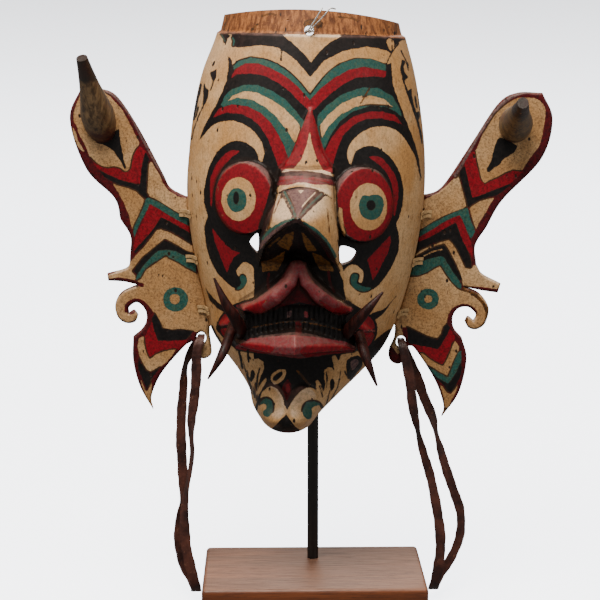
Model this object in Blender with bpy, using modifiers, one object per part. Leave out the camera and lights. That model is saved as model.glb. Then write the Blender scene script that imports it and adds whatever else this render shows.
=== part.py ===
"""Hudoq mask, a carved and painted wooden spirit mask, on its rod and block.

The mask is one hollow carving. Two ear boards with pegs, four tusks, rattan
lashings, leather straps and a tie wire are pieces of their own.
The model stands on its block: +X is to the viewer's right, -Y is towards the
viewer and the block's underside is at Z = 0.
All sizes are in millimetres, and MM turns them into metres.
"""
from math import cos, pi, radians, sin

import bmesh
import bpy
import numpy as np
from mathutils import Matrix, Vector

MM = 0.001

# Gap between pieces that touch, and clearance of a piece in its hole
TOUCH_GAP = 0.3
FIT_GAP = 0.35

# Wooden block and black rod
BLOCK_WIDTH = 216.0
BLOCK_DEPTH = 127.0
BLOCK_HEIGHT = 40.0
BLOCK_EDGE = 1.6
ROD_RADIUS = 5.5
ROD_Y = 29.0
ROD_SOCKET = 22.0
ROD_SHOWN = 155.0
ROD_BEND = 15.0
CROSSPIECE_RADIUS = 3.0
CROSSPIECE_LENGTH = 92.0
# Places behind the top wall: below the wall, and forward of the mask's back
CROSSPIECE_DROP = 14.0
CROSSPIECE_DEPTH = 42.0
ARM_REACH = 50.0

# Mask shell. Depths are measured forward from its flat back
MASK_HEIGHT = 387.0
MASK_BACK_Y = 22.0
SHELL_WALL = 11.0
TOP_WALL = 13.0
CHIN_WALL = 24.0
BAND_HEIGHT = 22.0
BAND_INSET = 3.0
CARVE_SOFTNESS = 3.0
SHELL_COLUMNS = 104
SHELL_ROWS = 120
HOLLOW_STEP = 2
SHELL_KEEP = 0.17

# Outline of the shell: height, left edge, right edge and depth at the middle
OUTLINE = [
    (0.0, -53.5, 2.5, 90.0),
    (10.0, -59.5, 10.5, 97.0),
    (25.0, -63.0, 27.0, 92.0),
    (45.0, -74.5, 49.5, 83.0),
    (65.0, -89.0, 67.5, 84.0),
    (84.0, -99.5, 77.5, 90.0),
    (108.0, -104.5, 86.0, 96.0),
    (150.0, -113.8, 97.0, 100.0),
    (187.0, -119.5, 103.5, 102.0),
    (218.0, -121.3, 106.5, 102.0),
    (255.0, -118.7, 106.0, 100.0),
    (291.0, -114.0, 102.0, 96.0),
    (330.0, -105.0, 95.0, 90.0),
    (365.0, -91.5, 85.5, 83.0),
    (387.0, -86.0, 80.0, 77.0),
]

# Raised triangle above the nose: height, left edge, right edge
BRIDGE = [
    (246.0, -32.0, 14.5),
    (262.0, -21.5, 5.0),
    (282.0, -15.0, 0.5),
    (300.0, -6.5, -4.0),
]
BRIDGE_TIP_RISE = 3.0
BRIDGE_FOOT_RISE = 14.0

# Snout: height, left edge, crest, right edge, crest depth, edge depth
SNOUT = [
    (150.0, -50.5, -16.0, 19.0, 150.0, 98.0),
    (172.0, -51.3, -16.5, 20.0, 168.0, 106.0),
    (190.0, -49.5, -17.5, 19.5, 170.0, 109.0),
    (208.5, -44.5, -19.0, 16.5, 168.0, 112.0),
    (222.0, -37.5, -12.5, 15.4, 151.0, 112.0),
    (232.0, -35.0, -8.5, 15.2, 138.0, 112.0),
    (240.0, -33.0, -8.5, 15.0, 131.0, 112.0),
    (247.0, -32.0, -8.5, 14.5, 123.0, 108.0),
]
SNOUT_TOP = 247.0
# Lower rim of the snout: place across and height
SNOUT_RIM = [
    (-52.0, 156.0),
    (-48.1, 174.4),
    (-42.7, 186.4),
    (-33.2, 198.5),
    (-19.0, 209.0),
    (-6.3, 199.5),
    (7.3, 184.5),
    (17.9, 163.0),
    (21.0, 155.0),
]
SNOUT_RIM_THICKNESS = 7.0
SNOUT_SEAM_STEP = 2.0
SNOUT_SEAM_HEIGHT = 234.0
# Hollow under the snout: height, half width, half height and depth
NOSTRIL = (171.0, 9.0, 7.0, 16.0)

# Eyes: centre, half width, half height, how far the near edge stands forward
EYE_LEFT = (-65.6, 219.4, 26.5, 32.5)
EYE_RIGHT = (43.5, 213.0, 27.0, 34.0)
EYE_DEPTH = 97.0
EYE_SLOPE = 0.62
EYE_DOME = 3.0
EYE_WALL_SHIFT = 5.0

# Holes to see through, beside the snout
PEEP_LEFT = [(-60.5, 178.0), (-57.5, 184.0), (-52.5, 187.0), (-52.8, 170.5), (-57.0, 172.5)]
PEEP_RIGHT = [(21.5, 175.5), (30.0, 175.0), (36.5, 170.0), (33.0, 162.5), (26.5, 159.5), (22.0, 160.5)]

# Mouth: the muzzle's middle, its half width and its depth
MOUTH_MIDDLE = -18.5
MUZZLE_HALF = 60.0
MUZZLE_DEPTH = 116.0
MUZZLE_SIDE_DEPTH = 62.0
MUZZLE_LOW = 80.0
TOOTH_PITCH = 4.6
TOOTH_GROOVE = 1.6
TEETH_LINE = 111.5
TEETH_LINE_DROP = 0.0062
TEETH_TOP = 125.0
# Upper lip, left roll: place across, height, depth, radius
LIP_ROLL_LEFT = [
    (-18.5, 160.0, 124.0, 5.5),
    (-24.5, 147.0, 131.0, 6.5),
    (-38.0, 134.0, 133.0, 7.5),
    (-51.0, 124.0, 122.0, 6.5),
    (-64.0, 118.5, 103.0, 4.0),
]
LIP_ROLL_RIGHT = [
    (-14.0, 160.0, 124.0, 5.5),
    (-8.5, 147.0, 131.0, 6.5),
    (3.5, 134.5, 133.0, 7.5),
    (15.5, 124.5, 122.0, 6.5),
    (29.0, 117.0, 101.0, 4.0),
]
# Lower lip: place across, lower edge, upper edge, depth of the keel line
LOWER_LIP = [
    (-74.0, 83.0, 86.0, 88.0),
    (-59.5, 82.0, 94.5, 108.0),
    (-40.0, 82.5, 99.5, 130.0),
    (-20.0, 84.0, 103.0, 146.0),
    (5.0, 82.5, 97.0, 124.0),
    (26.0, 79.0, 89.5, 101.0),
    (38.0, 76.0, 80.0, 86.0),
]
LIP_CHAMFER = 8.0
# Corners of the mouth: tip, middle, half width, half height
CORNER_LEFT = (-91.5, -74.0, 95.0, 17.0)
CORNER_RIGHT = (58.0, 41.0, 90.0, 15.0)
CORNER_RISE = 8.0

# Bosses on the chin: centre, half width, half height
CHIN_BOSSES = [(-41.5, 26.0, 14.5, 20.0), (-12.0, 25.0, 15.0, 19.5)]
CHIN_RISE = 5.0

# Hole at the brow for the tie wire: place across, drop below the shell's top, radius
WIRE_HOLE = (-6.0, 18.5, 4.5)

# Tusks: place across, height, depth, radius, from the root to the tip
TUSKS = {
    "tusk_upper_left": [
        (-65.5, 84.0, 64.0, 5.2),
        (-68.5, 98.0, 92.0, 5.9),
        (-73.5, 112.0, 107.0, 5.6),
        (-82.0, 127.0, 113.0, 4.2),
        (-92.3, 149.5, 110.0, 0.9),
    ],
    "tusk_lower_left": [
        (-75.5, 102.0, 60.0, 4.0),
        (-79.0, 93.0, 88.0, 4.6),
        (-86.5, 77.0, 106.0, 4.0),
        (-98.7, 56.4, 110.0, 0.8),
    ],
    "tusk_upper_right": [
        (20.5, 82.5, 64.0, 5.2),
        (27.5, 95.0, 92.0, 5.9),
        (34.8, 106.5, 106.0, 5.6),
        (45.5, 120.5, 113.0, 4.3),
        (59.9, 136.2, 110.0, 1.0),
    ],
    "tusk_lower_right": [
        (36.5, 100.0, 60.0, 4.4),
        (40.5, 90.0, 87.0, 5.0),
        (45.0, 75.5, 104.0, 4.4),
        (55.2, 49.2, 110.0, 0.9),
    ],
}
TUSK_SIDES = 10
TUSK_STEPS = 8

# Ear boards
EAR_THICKNESS = 9.0
EAR_BACK = 3.0
EAR_GAP = 0.6
# Free outline of each ear from the top of its joint round to the bottom.
# Each stretch is a smooth curve, and stretches meet at corners
EAR_LEFT = [
    [(-121.8, 211.4), (-136.8, 220.1), (-144.2, 234.4), (-166.2, 277.0), (-185.4, 306.1),
     (-200.0, 313.5), (-218.9, 315.4)],
    [(-218.9, 315.4), (-230.5, 285.0), (-216.1, 238.3), (-190.2, 210.6), (-184.7, 190.0)],
    [(-184.7, 190.0), (-175.5, 174.0), (-176.0, 156.7)],
    [(-176.0, 156.7), (-179.0, 143.5), (-198.4, 137.4)],
    [(-198.4, 137.4), (-197.6, 130.6)],
    [(-197.6, 130.6), (-183.0, 129.6), (-169.5, 126.6)],
    [(-169.5, 126.6), (-185.4, 118.8), (-191.4, 106.6), (-188.7, 94.4), (-181.1, 89.0),
     (-172.5, 90.2), (-169.4, 96.7)],
    [(-169.4, 96.7), (-173.4, 101.6), (-178.3, 98.8)],
    [(-178.3, 98.8), (-178.2, 104.5), (-170.2, 109.3), (-162.6, 102.0), (-161.5, 92.0),
     (-166.0, 83.0), (-174.6, 75.6)],
    [(-174.6, 75.6), (-175.0, 52.0), (-168.8, 26.0), (-156.5, 2.9)],
    [(-156.5, 2.9), (-158.0, 15.9), (-148.0, 39.0), (-126.5, 64.5), (-117.0, 71.0)],
    [(-117.0, 71.0), (-115.5, 60.0), (-107.5, 53.5), (-99.5, 57.5), (-99.3, 66.0), (-100.8, 78.0),
     (-100.4, 86.5)],
]
EAR_RIGHT = [
    [(107.4, 212.9), (118.5, 216.7), (128.9, 228.1), (151.6, 263.3), (175.1, 299.2), (193.0, 309.5),
     (216.5, 309.4)],
    [(216.5, 309.4), (226.8, 284.0), (217.0, 247.0), (180.9, 207.9), (165.5, 181.0)],
    [(165.5, 181.0), (155.5, 164.0), (156.8, 145.6)],
    [(156.8, 145.6), (163.0, 136.0), (180.8, 126.5)],
    [(180.8, 126.5), (178.1, 117.6)],
    [(178.1, 117.6), (163.0, 119.8), (146.5, 123.2)],
    [(146.5, 123.2), (160.5, 117.0), (169.6, 103.0), (166.6, 87.6), (158.5, 81.6), (150.7, 83.0),
     (146.8, 89.2)],
    [(146.8, 89.2), (149.8, 94.2), (155.4, 90.2)],
    [(155.4, 90.2), (157.6, 96.0), (150.3, 103.3), (141.0, 102.6), (135.2, 95.0), (136.0, 83.5),
     (144.1, 73.4)],
    [(144.1, 73.4), (149.2, 52.0), (142.1, 18.6), (125.9, -5.5)],
    [(125.9, -5.5), (127.7, 5.6), (118.5, 31.5), (99.0, 62.0), (92.5, 65.5)],
    [(92.5, 65.5), (91.5, 55.0), (83.0, 47.5), (74.5, 51.5), (73.6, 61.5), (78.6, 74.0), (79.2, 87.0)],
]
EAR_OUTLINE_STEP = 6.0
# Strap slots: centre across and height, half width, half height
SLOT_LEFT = (-108.8, 74.0, 4.8, 6.0)
SLOT_RIGHT = (85.0, 69.5, 4.8, 6.0)

# Ear pegs: foot and tip as place across, height and depth, with radii along the peg
PEGS = {
    "ear_peg_left": ((-200.5, 276.0), (-212.0, 343.8, 60.0)),
    "ear_peg_right": ((190.0, 276.0), (185.5, 304.5, 90.0)),
}
PEG_PROFILE = [(0.0, 13.0), (0.10, 15.3), (0.24, 15.6), (0.42, 12.6), (0.62, 9.4), (0.82, 7.0), (1.0, 5.2)]
PEG_SIDES = 20

# Rattan lashings: place of each pair of strands across the joint
LASHING_HEIGHTS = {"left": (196.5, 152.5, 103.5), "right": (195.0, 149.5, 99.5)}
LASHING_ON_EAR = 7.5
LASHING_DEPTHS = (19.0, 24.0, 29.0)
LASHING_WIDTH = 3.0
LASHING_THICKNESS = 1.5
LASHING_PITCH = 4.0
LASHING_LIFT = 0.9

# Leather straps, one loop through each ear's slot, with both ends in the slot:
# place across, height, depth, width, and the strip's turn in degrees
STRAP_THICKNESS = 2.0
STRAP_STEPS = 2
STRAP_LEFT = [
    (-108.7, 75.8, 3.5, 6.5, 0), (-108.8, 75.6, 10.5, 7.0, 0), (-110.2, 71.5, 15.5, 8.0, 0),
    (-112.8, 62.0, 17.5, 9.5, 0), (-114.0, 34.0, 18.0, 10.0, 0), (-116.2, 14.0, 17.5, 9.5, 0),
    (-118.8, -4.0, 17.5, 9.0, 10), (-119.5, -19.0, 17.5, 8.5, 55), (-118.3, -38.0, 17.5, 8.5, 60),
    (-120.5, -56.0, 17.5, 8.5, 65), (-124.6, -77.0, 17.5, 8.5, 60), (-127.0, -95.0, 17.5, 8.5, 30),
    (-127.0, -112.0, 18.0, 9.5, 0), (-125.8, -133.0, 18.0, 10.0, 0), (-122.0, -153.5, 18.0, 10.0, 0),
    (-117.6, -173.0, 16.0, 10.0, 0), (-116.8, -183.5, 8.5, 10.0, 0), (-118.0, -185.0, -0.5, 9.5, 0),
    (-122.5, -177.0, -7.0, 9.0, 0), (-131.0, -159.5, -8.0, 9.0, 10), (-134.7, -137.5, -8.0, 9.0, 20),
    (-133.4, -115.5, -8.0, 9.0, 30), (-129.6, -94.5, -7.5, 9.0, 55), (-129.4, -78.0, -7.0, 9.0, 10),
    (-129.8, -58.0, -7.0, 10.0, 0), (-130.8, -32.5, -7.0, 10.0, 0), (-130.0, -7.0, -6.5, 9.5, 5),
    (-128.0, 18.5, -6.0, 9.0, 20), (-126.3, 41.0, -5.5, 9.0, 60), (-119.0, 58.0, -4.5, 9.0, 20),
    (-111.5, 69.5, -2.5, 8.0, 0), (-109.0, 73.0, 3.0, 7.0, 0), (-108.8, 72.6, 9.5, 6.5, 0),
]
STRAP_RIGHT = [
    (85.0, 71.3, 3.5, 6.5, 0), (85.1, 71.1, 10.5, 7.0, 0), (86.0, 67.0, 15.5, 8.0, 0),
    (88.0, 59.0, 17.5, 9.5, 0), (93.5, 33.0, 18.0, 10.0, 0), (95.8, 13.0, 17.5, 9.5, 0),
    (98.9, -5.0, 17.5, 8.5, 20), (102.3, -20.0, 17.5, 8.0, 62), (107.7, -40.0, 17.5, 8.5, 20),
    (116.0, -69.0, 17.5, 9.0, 0), (124.0, -111.0, 18.0, 10.0, 0), (125.8, -136.5, 18.0, 10.0, 0),
    (123.7, -158.0, 18.0, 10.0, 0), (120.8, -175.0, 15.5, 10.0, 0), (120.4, -183.5, 7.5, 10.0, 0),
    (122.5, -184.0, -1.0, 9.5, 0), (129.0, -173.5, -7.5, 9.0, 0), (140.5, -155.0, -8.0, 9.0, 0),
    (148.2, -133.0, -8.0, 9.0, 10), (148.2, -109.0, -8.0, 9.0, 10), (141.4, -88.0, -8.0, 9.5, 0),
    (133.4, -65.0, -7.5, 9.0, 5), (128.7, -49.5, -7.5, 9.0, 20), (123.3, -29.0, -7.0, 8.0, 62),
    (119.0, -11.5, -7.0, 9.0, 25), (109.8, 10.0, -6.5, 10.0, 0), (101.5, 32.5, -6.0, 10.0, 10),
    (93.3, 51.0, -4.5, 9.0, 10), (87.0, 64.0, -2.5, 8.0, 0), (85.2, 68.5, 3.0, 7.0, 0),
    (85.0, 68.1, 9.5, 6.5, 0),
]

# Tie wire, from its free end through the brow hole, round the crosspiece and back:
# place across, drop below the shell's top, depth
WIRE_RADIUS = 0.7
WIRE_STEP = 4.5
WIRE_POINTS = [
    (17.5, -0.5, 79.5), (12.5, -1.0, 80.0), (8.5, 3.5, 81.0), (4.0, 8.5, 81.5), (-1.0, 13.5, 82.0),
    (-4.8, 17.4, 81.5), (-5.6, 18.0, 76.0), (-7.2, 18.4, 64.0), (-8.8, 19.6, 52.0), (-8.8, 21.4, 44.0),
    (-8.8, 23.0, 39.4), (-8.8, 27.2, 37.0), (-9.2, 31.2, 39.0), (-9.6, 32.0, 43.5), (-9.8, 29.6, 48.0),
    (-9.8, 25.6, 52.0), (-9.6, 22.4, 58.0), (-8.6, 20.6, 68.0), (-7.6, 19.6, 78.0), (-6.8, 18.0, 84.0),
    (-4.0, 13.4, 85.0), (-0.5, 8.0, 84.8), (3.0, 2.5, 84.2), (5.5, -1.5, 83.0),
]

# Plain colours, roughness and metallic values of the pieces
COLOURS = {
    "painted_wood": ((0.50, 0.38, 0.22), 0.62, 0.0),
    "ear_wood": ((0.42, 0.31, 0.18), 0.62, 0.0),
    "tusk_wood": ((0.10, 0.03, 0.025), 0.45, 0.0),
    "peg_wood": ((0.16, 0.12, 0.075), 0.45, 0.0),
    "rattan": ((0.45, 0.28, 0.13), 0.6, 0.0),
    "leather": ((0.07, 0.022, 0.014), 0.6, 0.0),
    "wire": ((0.62, 0.62, 0.60), 0.35, 1.0),
    "black_steel": ((0.02, 0.02, 0.02), 0.4, 0.0),
    "walnut": ((0.20, 0.085, 0.04), 0.5, 0.0),
}


# Reading a table of stations
def station(table, column, at):
    """Smooth curve through one column of a table whose first column rises."""
    keys = np.array([row[0] for row in table])
    values = np.array([row[column] for row in table])
    slopes = np.gradient(values, keys)
    at = np.clip(at, keys[0], keys[-1])
    i = np.clip(np.searchsorted(keys, at, side="right") - 1, 0, len(keys) - 2)
    span = keys[i + 1] - keys[i]
    t = (at - keys[i]) / span
    a = values[i] * (1 + 2 * t) * (1 - t) ** 2 + slopes[i] * span * t * (1 - t) ** 2
    b = values[i + 1] * t * t * (3 - 2 * t) + slopes[i + 1] * span * t * t * (t - 1)
    return a + b


def step(distance, width):
    """0 below -width/2, 1 above width/2 and smooth between."""
    t = np.clip(distance / width + 0.5, 0.0, 1.0)
    return t * t * (3 - 2 * t)


# Form of the shell's front, as depth forward of its back
def middle(z):
    return 0.5 * (station(OUTLINE, 1, z) + station(OUTLINE, 2, z))


def half_width(z):
    return 0.5 * (station(OUTLINE, 2, z) - station(OUTLINE, 1, z))


def band_line(x):
    """Height of the bare band's lower edge, which dips to the right."""
    return MASK_HEIGHT - BAND_HEIGHT - 0.025 * (x + 10.0)


def top_line(x):
    """Height of the shell's arched top edge."""
    return MASK_HEIGHT - 0.03 * (x + 10.0) - 0.00125 * (x + 10.0) ** 2


def bridge(x, z, rest):
    left = station(BRIDGE, 1, z)
    right = station(BRIDGE, 2, z)
    inside = np.minimum(np.minimum(x - left, right - x), BRIDGE[-1][0] - z)
    across = 1 - np.abs(2 * (x - left) / np.maximum(right - left, 1.0) - 1)
    foot = np.clip((BRIDGE[-1][0] - z) / (BRIDGE[-1][0] - BRIDGE[0][0]), 0, 1)
    rise = BRIDGE_TIP_RISE + (BRIDGE_FOOT_RISE - BRIDGE_TIP_RISE) * foot * np.clip(across, 0, 1) ** 0.7
    inside = np.where(z < BRIDGE[0][0] - CARVE_SOFTNESS, -CARVE_SOFTNESS, inside)
    return rest + rise * step(inside, CARVE_SOFTNESS)


def snout(x, z, rest):
    left = station(SNOUT, 1, z)
    crest = station(SNOUT, 2, z)
    right = station(SNOUT, 3, z)
    high = station(SNOUT, 4, z)
    low = station(SNOUT, 5, z)
    across = np.where(x < crest, (crest - x) / (crest - left), (x - crest) / (right - crest))
    across = np.clip(across, 0, 1)
    hood = low + (high - low) * (0.72 * np.sqrt(1 - across ** 2) + 0.28 * (1 - across))
    seam = SNOUT_SEAM_HEIGHT - 0.016 * (x + 8.5) ** 2
    hood = hood + SNOUT_SEAM_STEP * step(seam - z, CARVE_SOFTNESS)
    rim = station(SNOUT_RIM, 1, x)
    below = np.clip(rim - z, 0, 60)
    keel = 1 - np.clip(np.abs(x - crest) / 30.0, 0, 1)
    hollow = hood - SNOUT_RIM_THICKNESS - 1.05 * below - 9.0 * (1 - keel)
    pit_z, pit_rx, pit_rz, pit_depth = NOSTRIL
    pit = pit_depth * np.exp(-((x - crest) / pit_rx) ** 2 - ((z - pit_z) / pit_rz) ** 2)
    hollow = np.maximum(hollow, rest) - pit
    form = hollow + (hood - hollow) * step(z - rim, CARVE_SOFTNESS)
    inside = np.minimum(np.minimum(x - left, right - x), SNOUT_TOP - z)
    inside = np.minimum(inside, z - SNOUT[0][0])
    return rest + (np.maximum(form, rest - pit) - rest) * step(inside, CARVE_SOFTNESS)


def eye(x, z, rest, shape, outward):
    """A round disc that faces outward, with a wall that shows on its inner side."""
    cx, cz, rx, rz = shape
    face_ring = 1 - np.sqrt(((x - cx) / rx) ** 2 + ((z - cz) / rz) ** 2)
    fx = cx - outward * EYE_WALL_SHIFT
    foot_ring = 1 - np.sqrt(((x - fx) / rx) ** 2 + ((z - cz - 0.3 * EYE_WALL_SHIFT) / rz) ** 2)
    face = EYE_DEPTH - outward * EYE_SLOPE * (x - cx) + EYE_DOME * np.clip(1 - (1 - face_ring) ** 2, 0, 1)
    wall = np.clip(foot_ring, 0, None) / np.maximum(np.clip(foot_ring, 0, None) - np.minimum(face_ring, 0), 1e-6)
    on_face = step(face_ring * rx, CARVE_SOFTNESS)
    on_wall = np.where(foot_ring > 0, wall, 0.0)
    part = np.maximum(on_face, on_wall)
    return rest + np.maximum(face - rest, 0) * part


def roll(x, z, path):
    """A rounded bead along a path: its front surface and the distance inside it."""
    best = np.full(x.shape, -1e9)
    form = np.zeros(x.shape)
    for (x0, z0, h0, r0), (x1, z1, h1, r1) in zip(path[:-1], path[1:]):
        along = ((x - x0) * (x1 - x0) + (z - z0) * (z1 - z0)) / ((x1 - x0) ** 2 + (z1 - z0) ** 2)
        t = np.clip(along, 0, 1)
        away = np.hypot(x - x0 - t * (x1 - x0), z - z0 - t * (z1 - z0))
        radius = r0 + t * (r1 - r0)
        crest = h0 + t * (h1 - h0)
        inside = radius - away
        height = crest - radius + np.sqrt(np.clip(radius ** 2 - away ** 2, 0, None))
        nearer = inside > best
        form = np.where(nearer, height, form)
        best = np.where(nearer, inside, best)
    return form, best


def muzzle(x, z, rest):
    across = np.clip((x - MOUTH_MIDDLE) / MUZZLE_HALF, -1, 1)
    arc = MUZZLE_SIDE_DEPTH + (MUZZLE_DEPTH - MUZZLE_SIDE_DEPTH) * np.sqrt(1 - across ** 2)
    line = TEETH_LINE - TEETH_LINE_DROP * (x - MOUTH_MIDDLE) ** 2
    place = np.abs((x - MOUTH_MIDDLE) / TOOTH_PITCH)
    groove = np.abs(place - np.floor(place) - 0.5) * TOOTH_PITCH
    cut = 1 - step(groove - 0.8, 1.6)
    gap = 1 - step(np.abs(z - line) - 0.6, 1.4)
    teeth = step(TEETH_TOP - z, CARVE_SOFTNESS)
    arc = arc - TOOTH_GROOVE * np.maximum(cut, gap) * teeth + 3.0 * (1 - teeth)
    lips = sorted(LIP_ROLL_LEFT[::-1] + LIP_ROLL_RIGHT)
    roof = np.interp(x, [row[0] for row in lips], [row[1] for row in lips])
    inside = np.minimum(MUZZLE_HALF - 10.0 - np.abs(x - MOUTH_MIDDLE), z - MUZZLE_LOW)
    inside = np.minimum(inside, roof - z)
    return rest + np.maximum(arc - rest, 0) * step(inside, 2 * CARVE_SOFTNESS)


def lower_lip(x, z, rest):
    low = station(LOWER_LIP, 1, x)
    high = station(LOWER_LIP, 2, x)
    keel = np.interp(x, [row[0] for row in LOWER_LIP], [row[3] for row in LOWER_LIP])
    up = np.clip((z - low) / np.maximum(high - low, 1.0), 0, 1)
    form = keel - LIP_CHAMFER * np.clip(up - 0.45, 0, 1) / 0.55 - 2.0 * np.clip(0.45 - up, 0, 1) / 0.45
    inside = np.minimum(np.minimum(z - low, high - z), np.minimum(x - LOWER_LIP[0][0], LOWER_LIP[-1][0] - x))
    return rest + np.maximum(form - rest, 0) * step(inside, CARVE_SOFTNESS)


def mouth_corner(x, z, rest, shape):
    tip, root, height, half = shape
    along = (x - root) / (tip - root)
    inside = (1 - np.clip(along, 0, None)) * half - np.abs(z - height) * 0.9
    inside = np.where(along < -0.3, -9.0, inside)
    crease = np.exp(-((z - height) / 1.6) ** 2)
    return rest + (CORNER_RISE * step(inside - 2.0, 8.0)) * (1 - 0.25 * crease)


def front_depth(x, z, plain):
    """Depth of the carved front, where plain is the depth of the shell without carving."""
    depth = bridge(x, z, plain)
    depth = eye(x, z, depth, EYE_LEFT, -1)
    depth = eye(x, z, depth, EYE_RIGHT, 1)
    depth = mouth_corner(x, z, depth, CORNER_LEFT)
    depth = mouth_corner(x, z, depth, CORNER_RIGHT)
    depth = muzzle(x, z, depth)
    depth = snout(x, z, depth)
    depth = lower_lip(x, z, depth)
    for path in (LIP_ROLL_LEFT, LIP_ROLL_RIGHT):
        form, inside = roll(x, z, path)
        depth = depth + np.maximum(form - depth, 0) * step(inside, CARVE_SOFTNESS)
    for cx, cz, rx, rz in CHIN_BOSSES:
        ring = 1 - np.sqrt(((x - cx) / rx) ** 2 + ((z - cz) / rz) ** 2)
        depth = depth + CHIN_RISE * step(ring * rx - 1.0, 7.0)
    return depth


def shell_grids(columns, rows):
    """Front and hollow of the shell as grids of points, in the mask's own frame."""
    turn = np.linspace(-pi / 2, pi / 2, columns + 1)[None, :]
    level = np.linspace(0, 1, rows + 1)[:, None]
    z = level * MASK_HEIGHT + 0 * turn
    for _ in range(3):
        inset = BAND_INSET * step(z - band_line(middle(z) + half_width(z) * np.sin(turn)), CARVE_SOFTNESS)
        x = middle(z) + (half_width(z) - inset) * np.sin(turn)
        z = level * MASK_HEIGHT + (top_line(x) - MASK_HEIGHT) * step(level - 0.965, 0.07)
    plain = (station(OUTLINE, 3, z) - inset) * np.cos(turn)
    depth = front_depth(x, z, plain)
    depth[:, 0] = 0.0
    depth[:, -1] = 0.0
    return np.stack([x, -depth, z], axis=2)


def hollow_grid(columns, rows):
    turn = np.linspace(-pi / 2, pi / 2, columns + 1)[None, :]
    level = np.linspace(0, 1, rows + 1)[:, None]
    low = CHIN_WALL
    high = MASK_HEIGHT - TOP_WALL
    # The ends of the hollow are rounded like a bowl
    z = low + (high - low) * (0.5 - 0.5 * np.cos(pi * level)) + 0 * turn
    end = np.sqrt(np.clip(1 - np.clip(1 - (z - low) / 38.0, 0, 1) ** 2, 0, 1))
    end = end * np.sqrt(np.clip(1 - np.clip(1 - (high - z) / 9.0, 0, 1) ** 2, 0, 1))
    width = half_width(z) - SHELL_WALL
    x = middle(z) + width * np.sin(turn)
    z = z + (top_line(x) - MASK_HEIGHT) * step(level - 0.93, 0.14)
    depth = (station(OUTLINE, 3, z) - SHELL_WALL) * np.cos(turn) * end
    return np.stack([x, -depth, z], axis=2)


# Building closed meshes
def new_object(name, bm, location=(0, 0, 0)):
    mesh = bpy.data.meshes.new(name)
    bm.to_mesh(mesh)
    bm.free()
    obj = bpy.data.objects.new(name, mesh)
    obj.location = Vector(location) * MM
    return obj


def add_grid(bm, points, flip):
    grid = [[bm.verts.new(Vector(p) * MM) for p in row] for row in points]
    for low, high in zip(grid[:-1], grid[1:]):
        for j in range(len(low) - 1):
            ring = [low[j], low[j + 1], high[j + 1], high[j]]
            bm.faces.new(ring[::-1] if flip else ring)
    return grid


def close_rim(bm, outer, inner, ratio):
    """Join an outer edge to an inner one that has one point for every ratio points."""
    for i in range(len(inner) - 1):
        ring = outer[i * ratio:(i + 1) * ratio + 1]
        bm.faces.new(ring + [inner[i + 1], inner[i]])


def shell_mesh():
    front = shell_grids(SHELL_COLUMNS, SHELL_ROWS)
    hollow = hollow_grid(SHELL_COLUMNS // HOLLOW_STEP, SHELL_ROWS // HOLLOW_STEP)
    bm = bmesh.new()
    outer = add_grid(bm, front, False)
    inner = add_grid(bm, hollow, True)
    top = front[-1].copy()
    bottom = front[0].copy()
    top[:, 1] = 0.0
    bottom[:, 1] = 0.0
    back_top = [outer[-1][0]] + [bm.verts.new(Vector(p) * MM) for p in top[1:-1]] + [outer[-1][-1]]
    back_bottom = [outer[0][0]] + [bm.verts.new(Vector(p) * MM) for p in bottom[1:-1]] + [outer[0][-1]]
    for near, far, flip in ((outer[-1], back_top, False), (outer[0], back_bottom, True)):
        for j in range(len(near) - 1):
            ring = list(dict.fromkeys([near[j], near[j + 1], far[j + 1], far[j]]))
            bm.faces.new(ring[::-1] if flip else ring)
    left = [row[0] for row in outer]
    right = [row[-1] for row in outer]
    close_rim(bm, back_top, inner[-1], HOLLOW_STEP)
    close_rim(bm, back_bottom[::-1], inner[0][::-1], HOLLOW_STEP)
    close_rim(bm, left, [row[0] for row in inner], HOLLOW_STEP)
    close_rim(bm, right[::-1], [row[-1] for row in inner][::-1], HOLLOW_STEP)
    bmesh.ops.recalc_face_normals(bm, faces=bm.faces)
    bmesh.ops.triangulate(bm, faces=bm.faces)
    return bm


def smooth_path(points, steps):
    """Points on a smooth curve through the given ones."""
    points = [np.array(p, dtype=float) for p in points]
    ends = [2 * points[0] - points[1]] + points + [2 * points[-1] - points[-2]]
    out = []
    for a, b, c, d in zip(ends[:-3], ends[1:-2], ends[2:-1], ends[3:]):
        for i in range(steps):
            t = i / steps
            out.append(0.5 * (2 * b + (c - a) * t + (2 * a - 5 * b + 4 * c - d) * t ** 2
                              + (3 * b - a - 3 * c + d) * t ** 3))
    out.append(points[-1])
    return out


def even_path(points, spacing):
    """The smooth curve through the points, read again at an even spacing."""
    fine = np.array(smooth_path(points, 12))
    lengths = np.concatenate([[0], np.cumsum(np.linalg.norm(np.diff(fine[:, :3], axis=0), axis=1))])
    count = max(2, int(round(lengths[-1] / spacing)))
    at = np.linspace(0, lengths[-1], count + 1)
    return np.stack([np.interp(at, lengths, fine[:, k]) for k in range(fine.shape[1])], axis=1)


def forward(x, z, depth):
    """A point of the mask's own frame, whose depth runs towards the viewer."""
    return np.array([x, -depth, z])


def loft(sections):
    """Closed solid through rings of equally many points."""
    bm = bmesh.new()
    rings = [[bm.verts.new(Vector(p) * MM) for p in ring] for ring in sections]
    count = len(rings[0])
    for a, b in zip(rings[:-1], rings[1:]):
        for k in range(count):
            bm.faces.new([a[k], a[(k + 1) % count], b[(k + 1) % count], b[k]])
    bm.faces.new(rings[0][::-1])
    bm.faces.new(rings[-1])
    bmesh.ops.recalc_face_normals(bm, faces=bm.faces)
    bmesh.ops.triangulate(bm, faces=bm.faces)
    return bm


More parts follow.
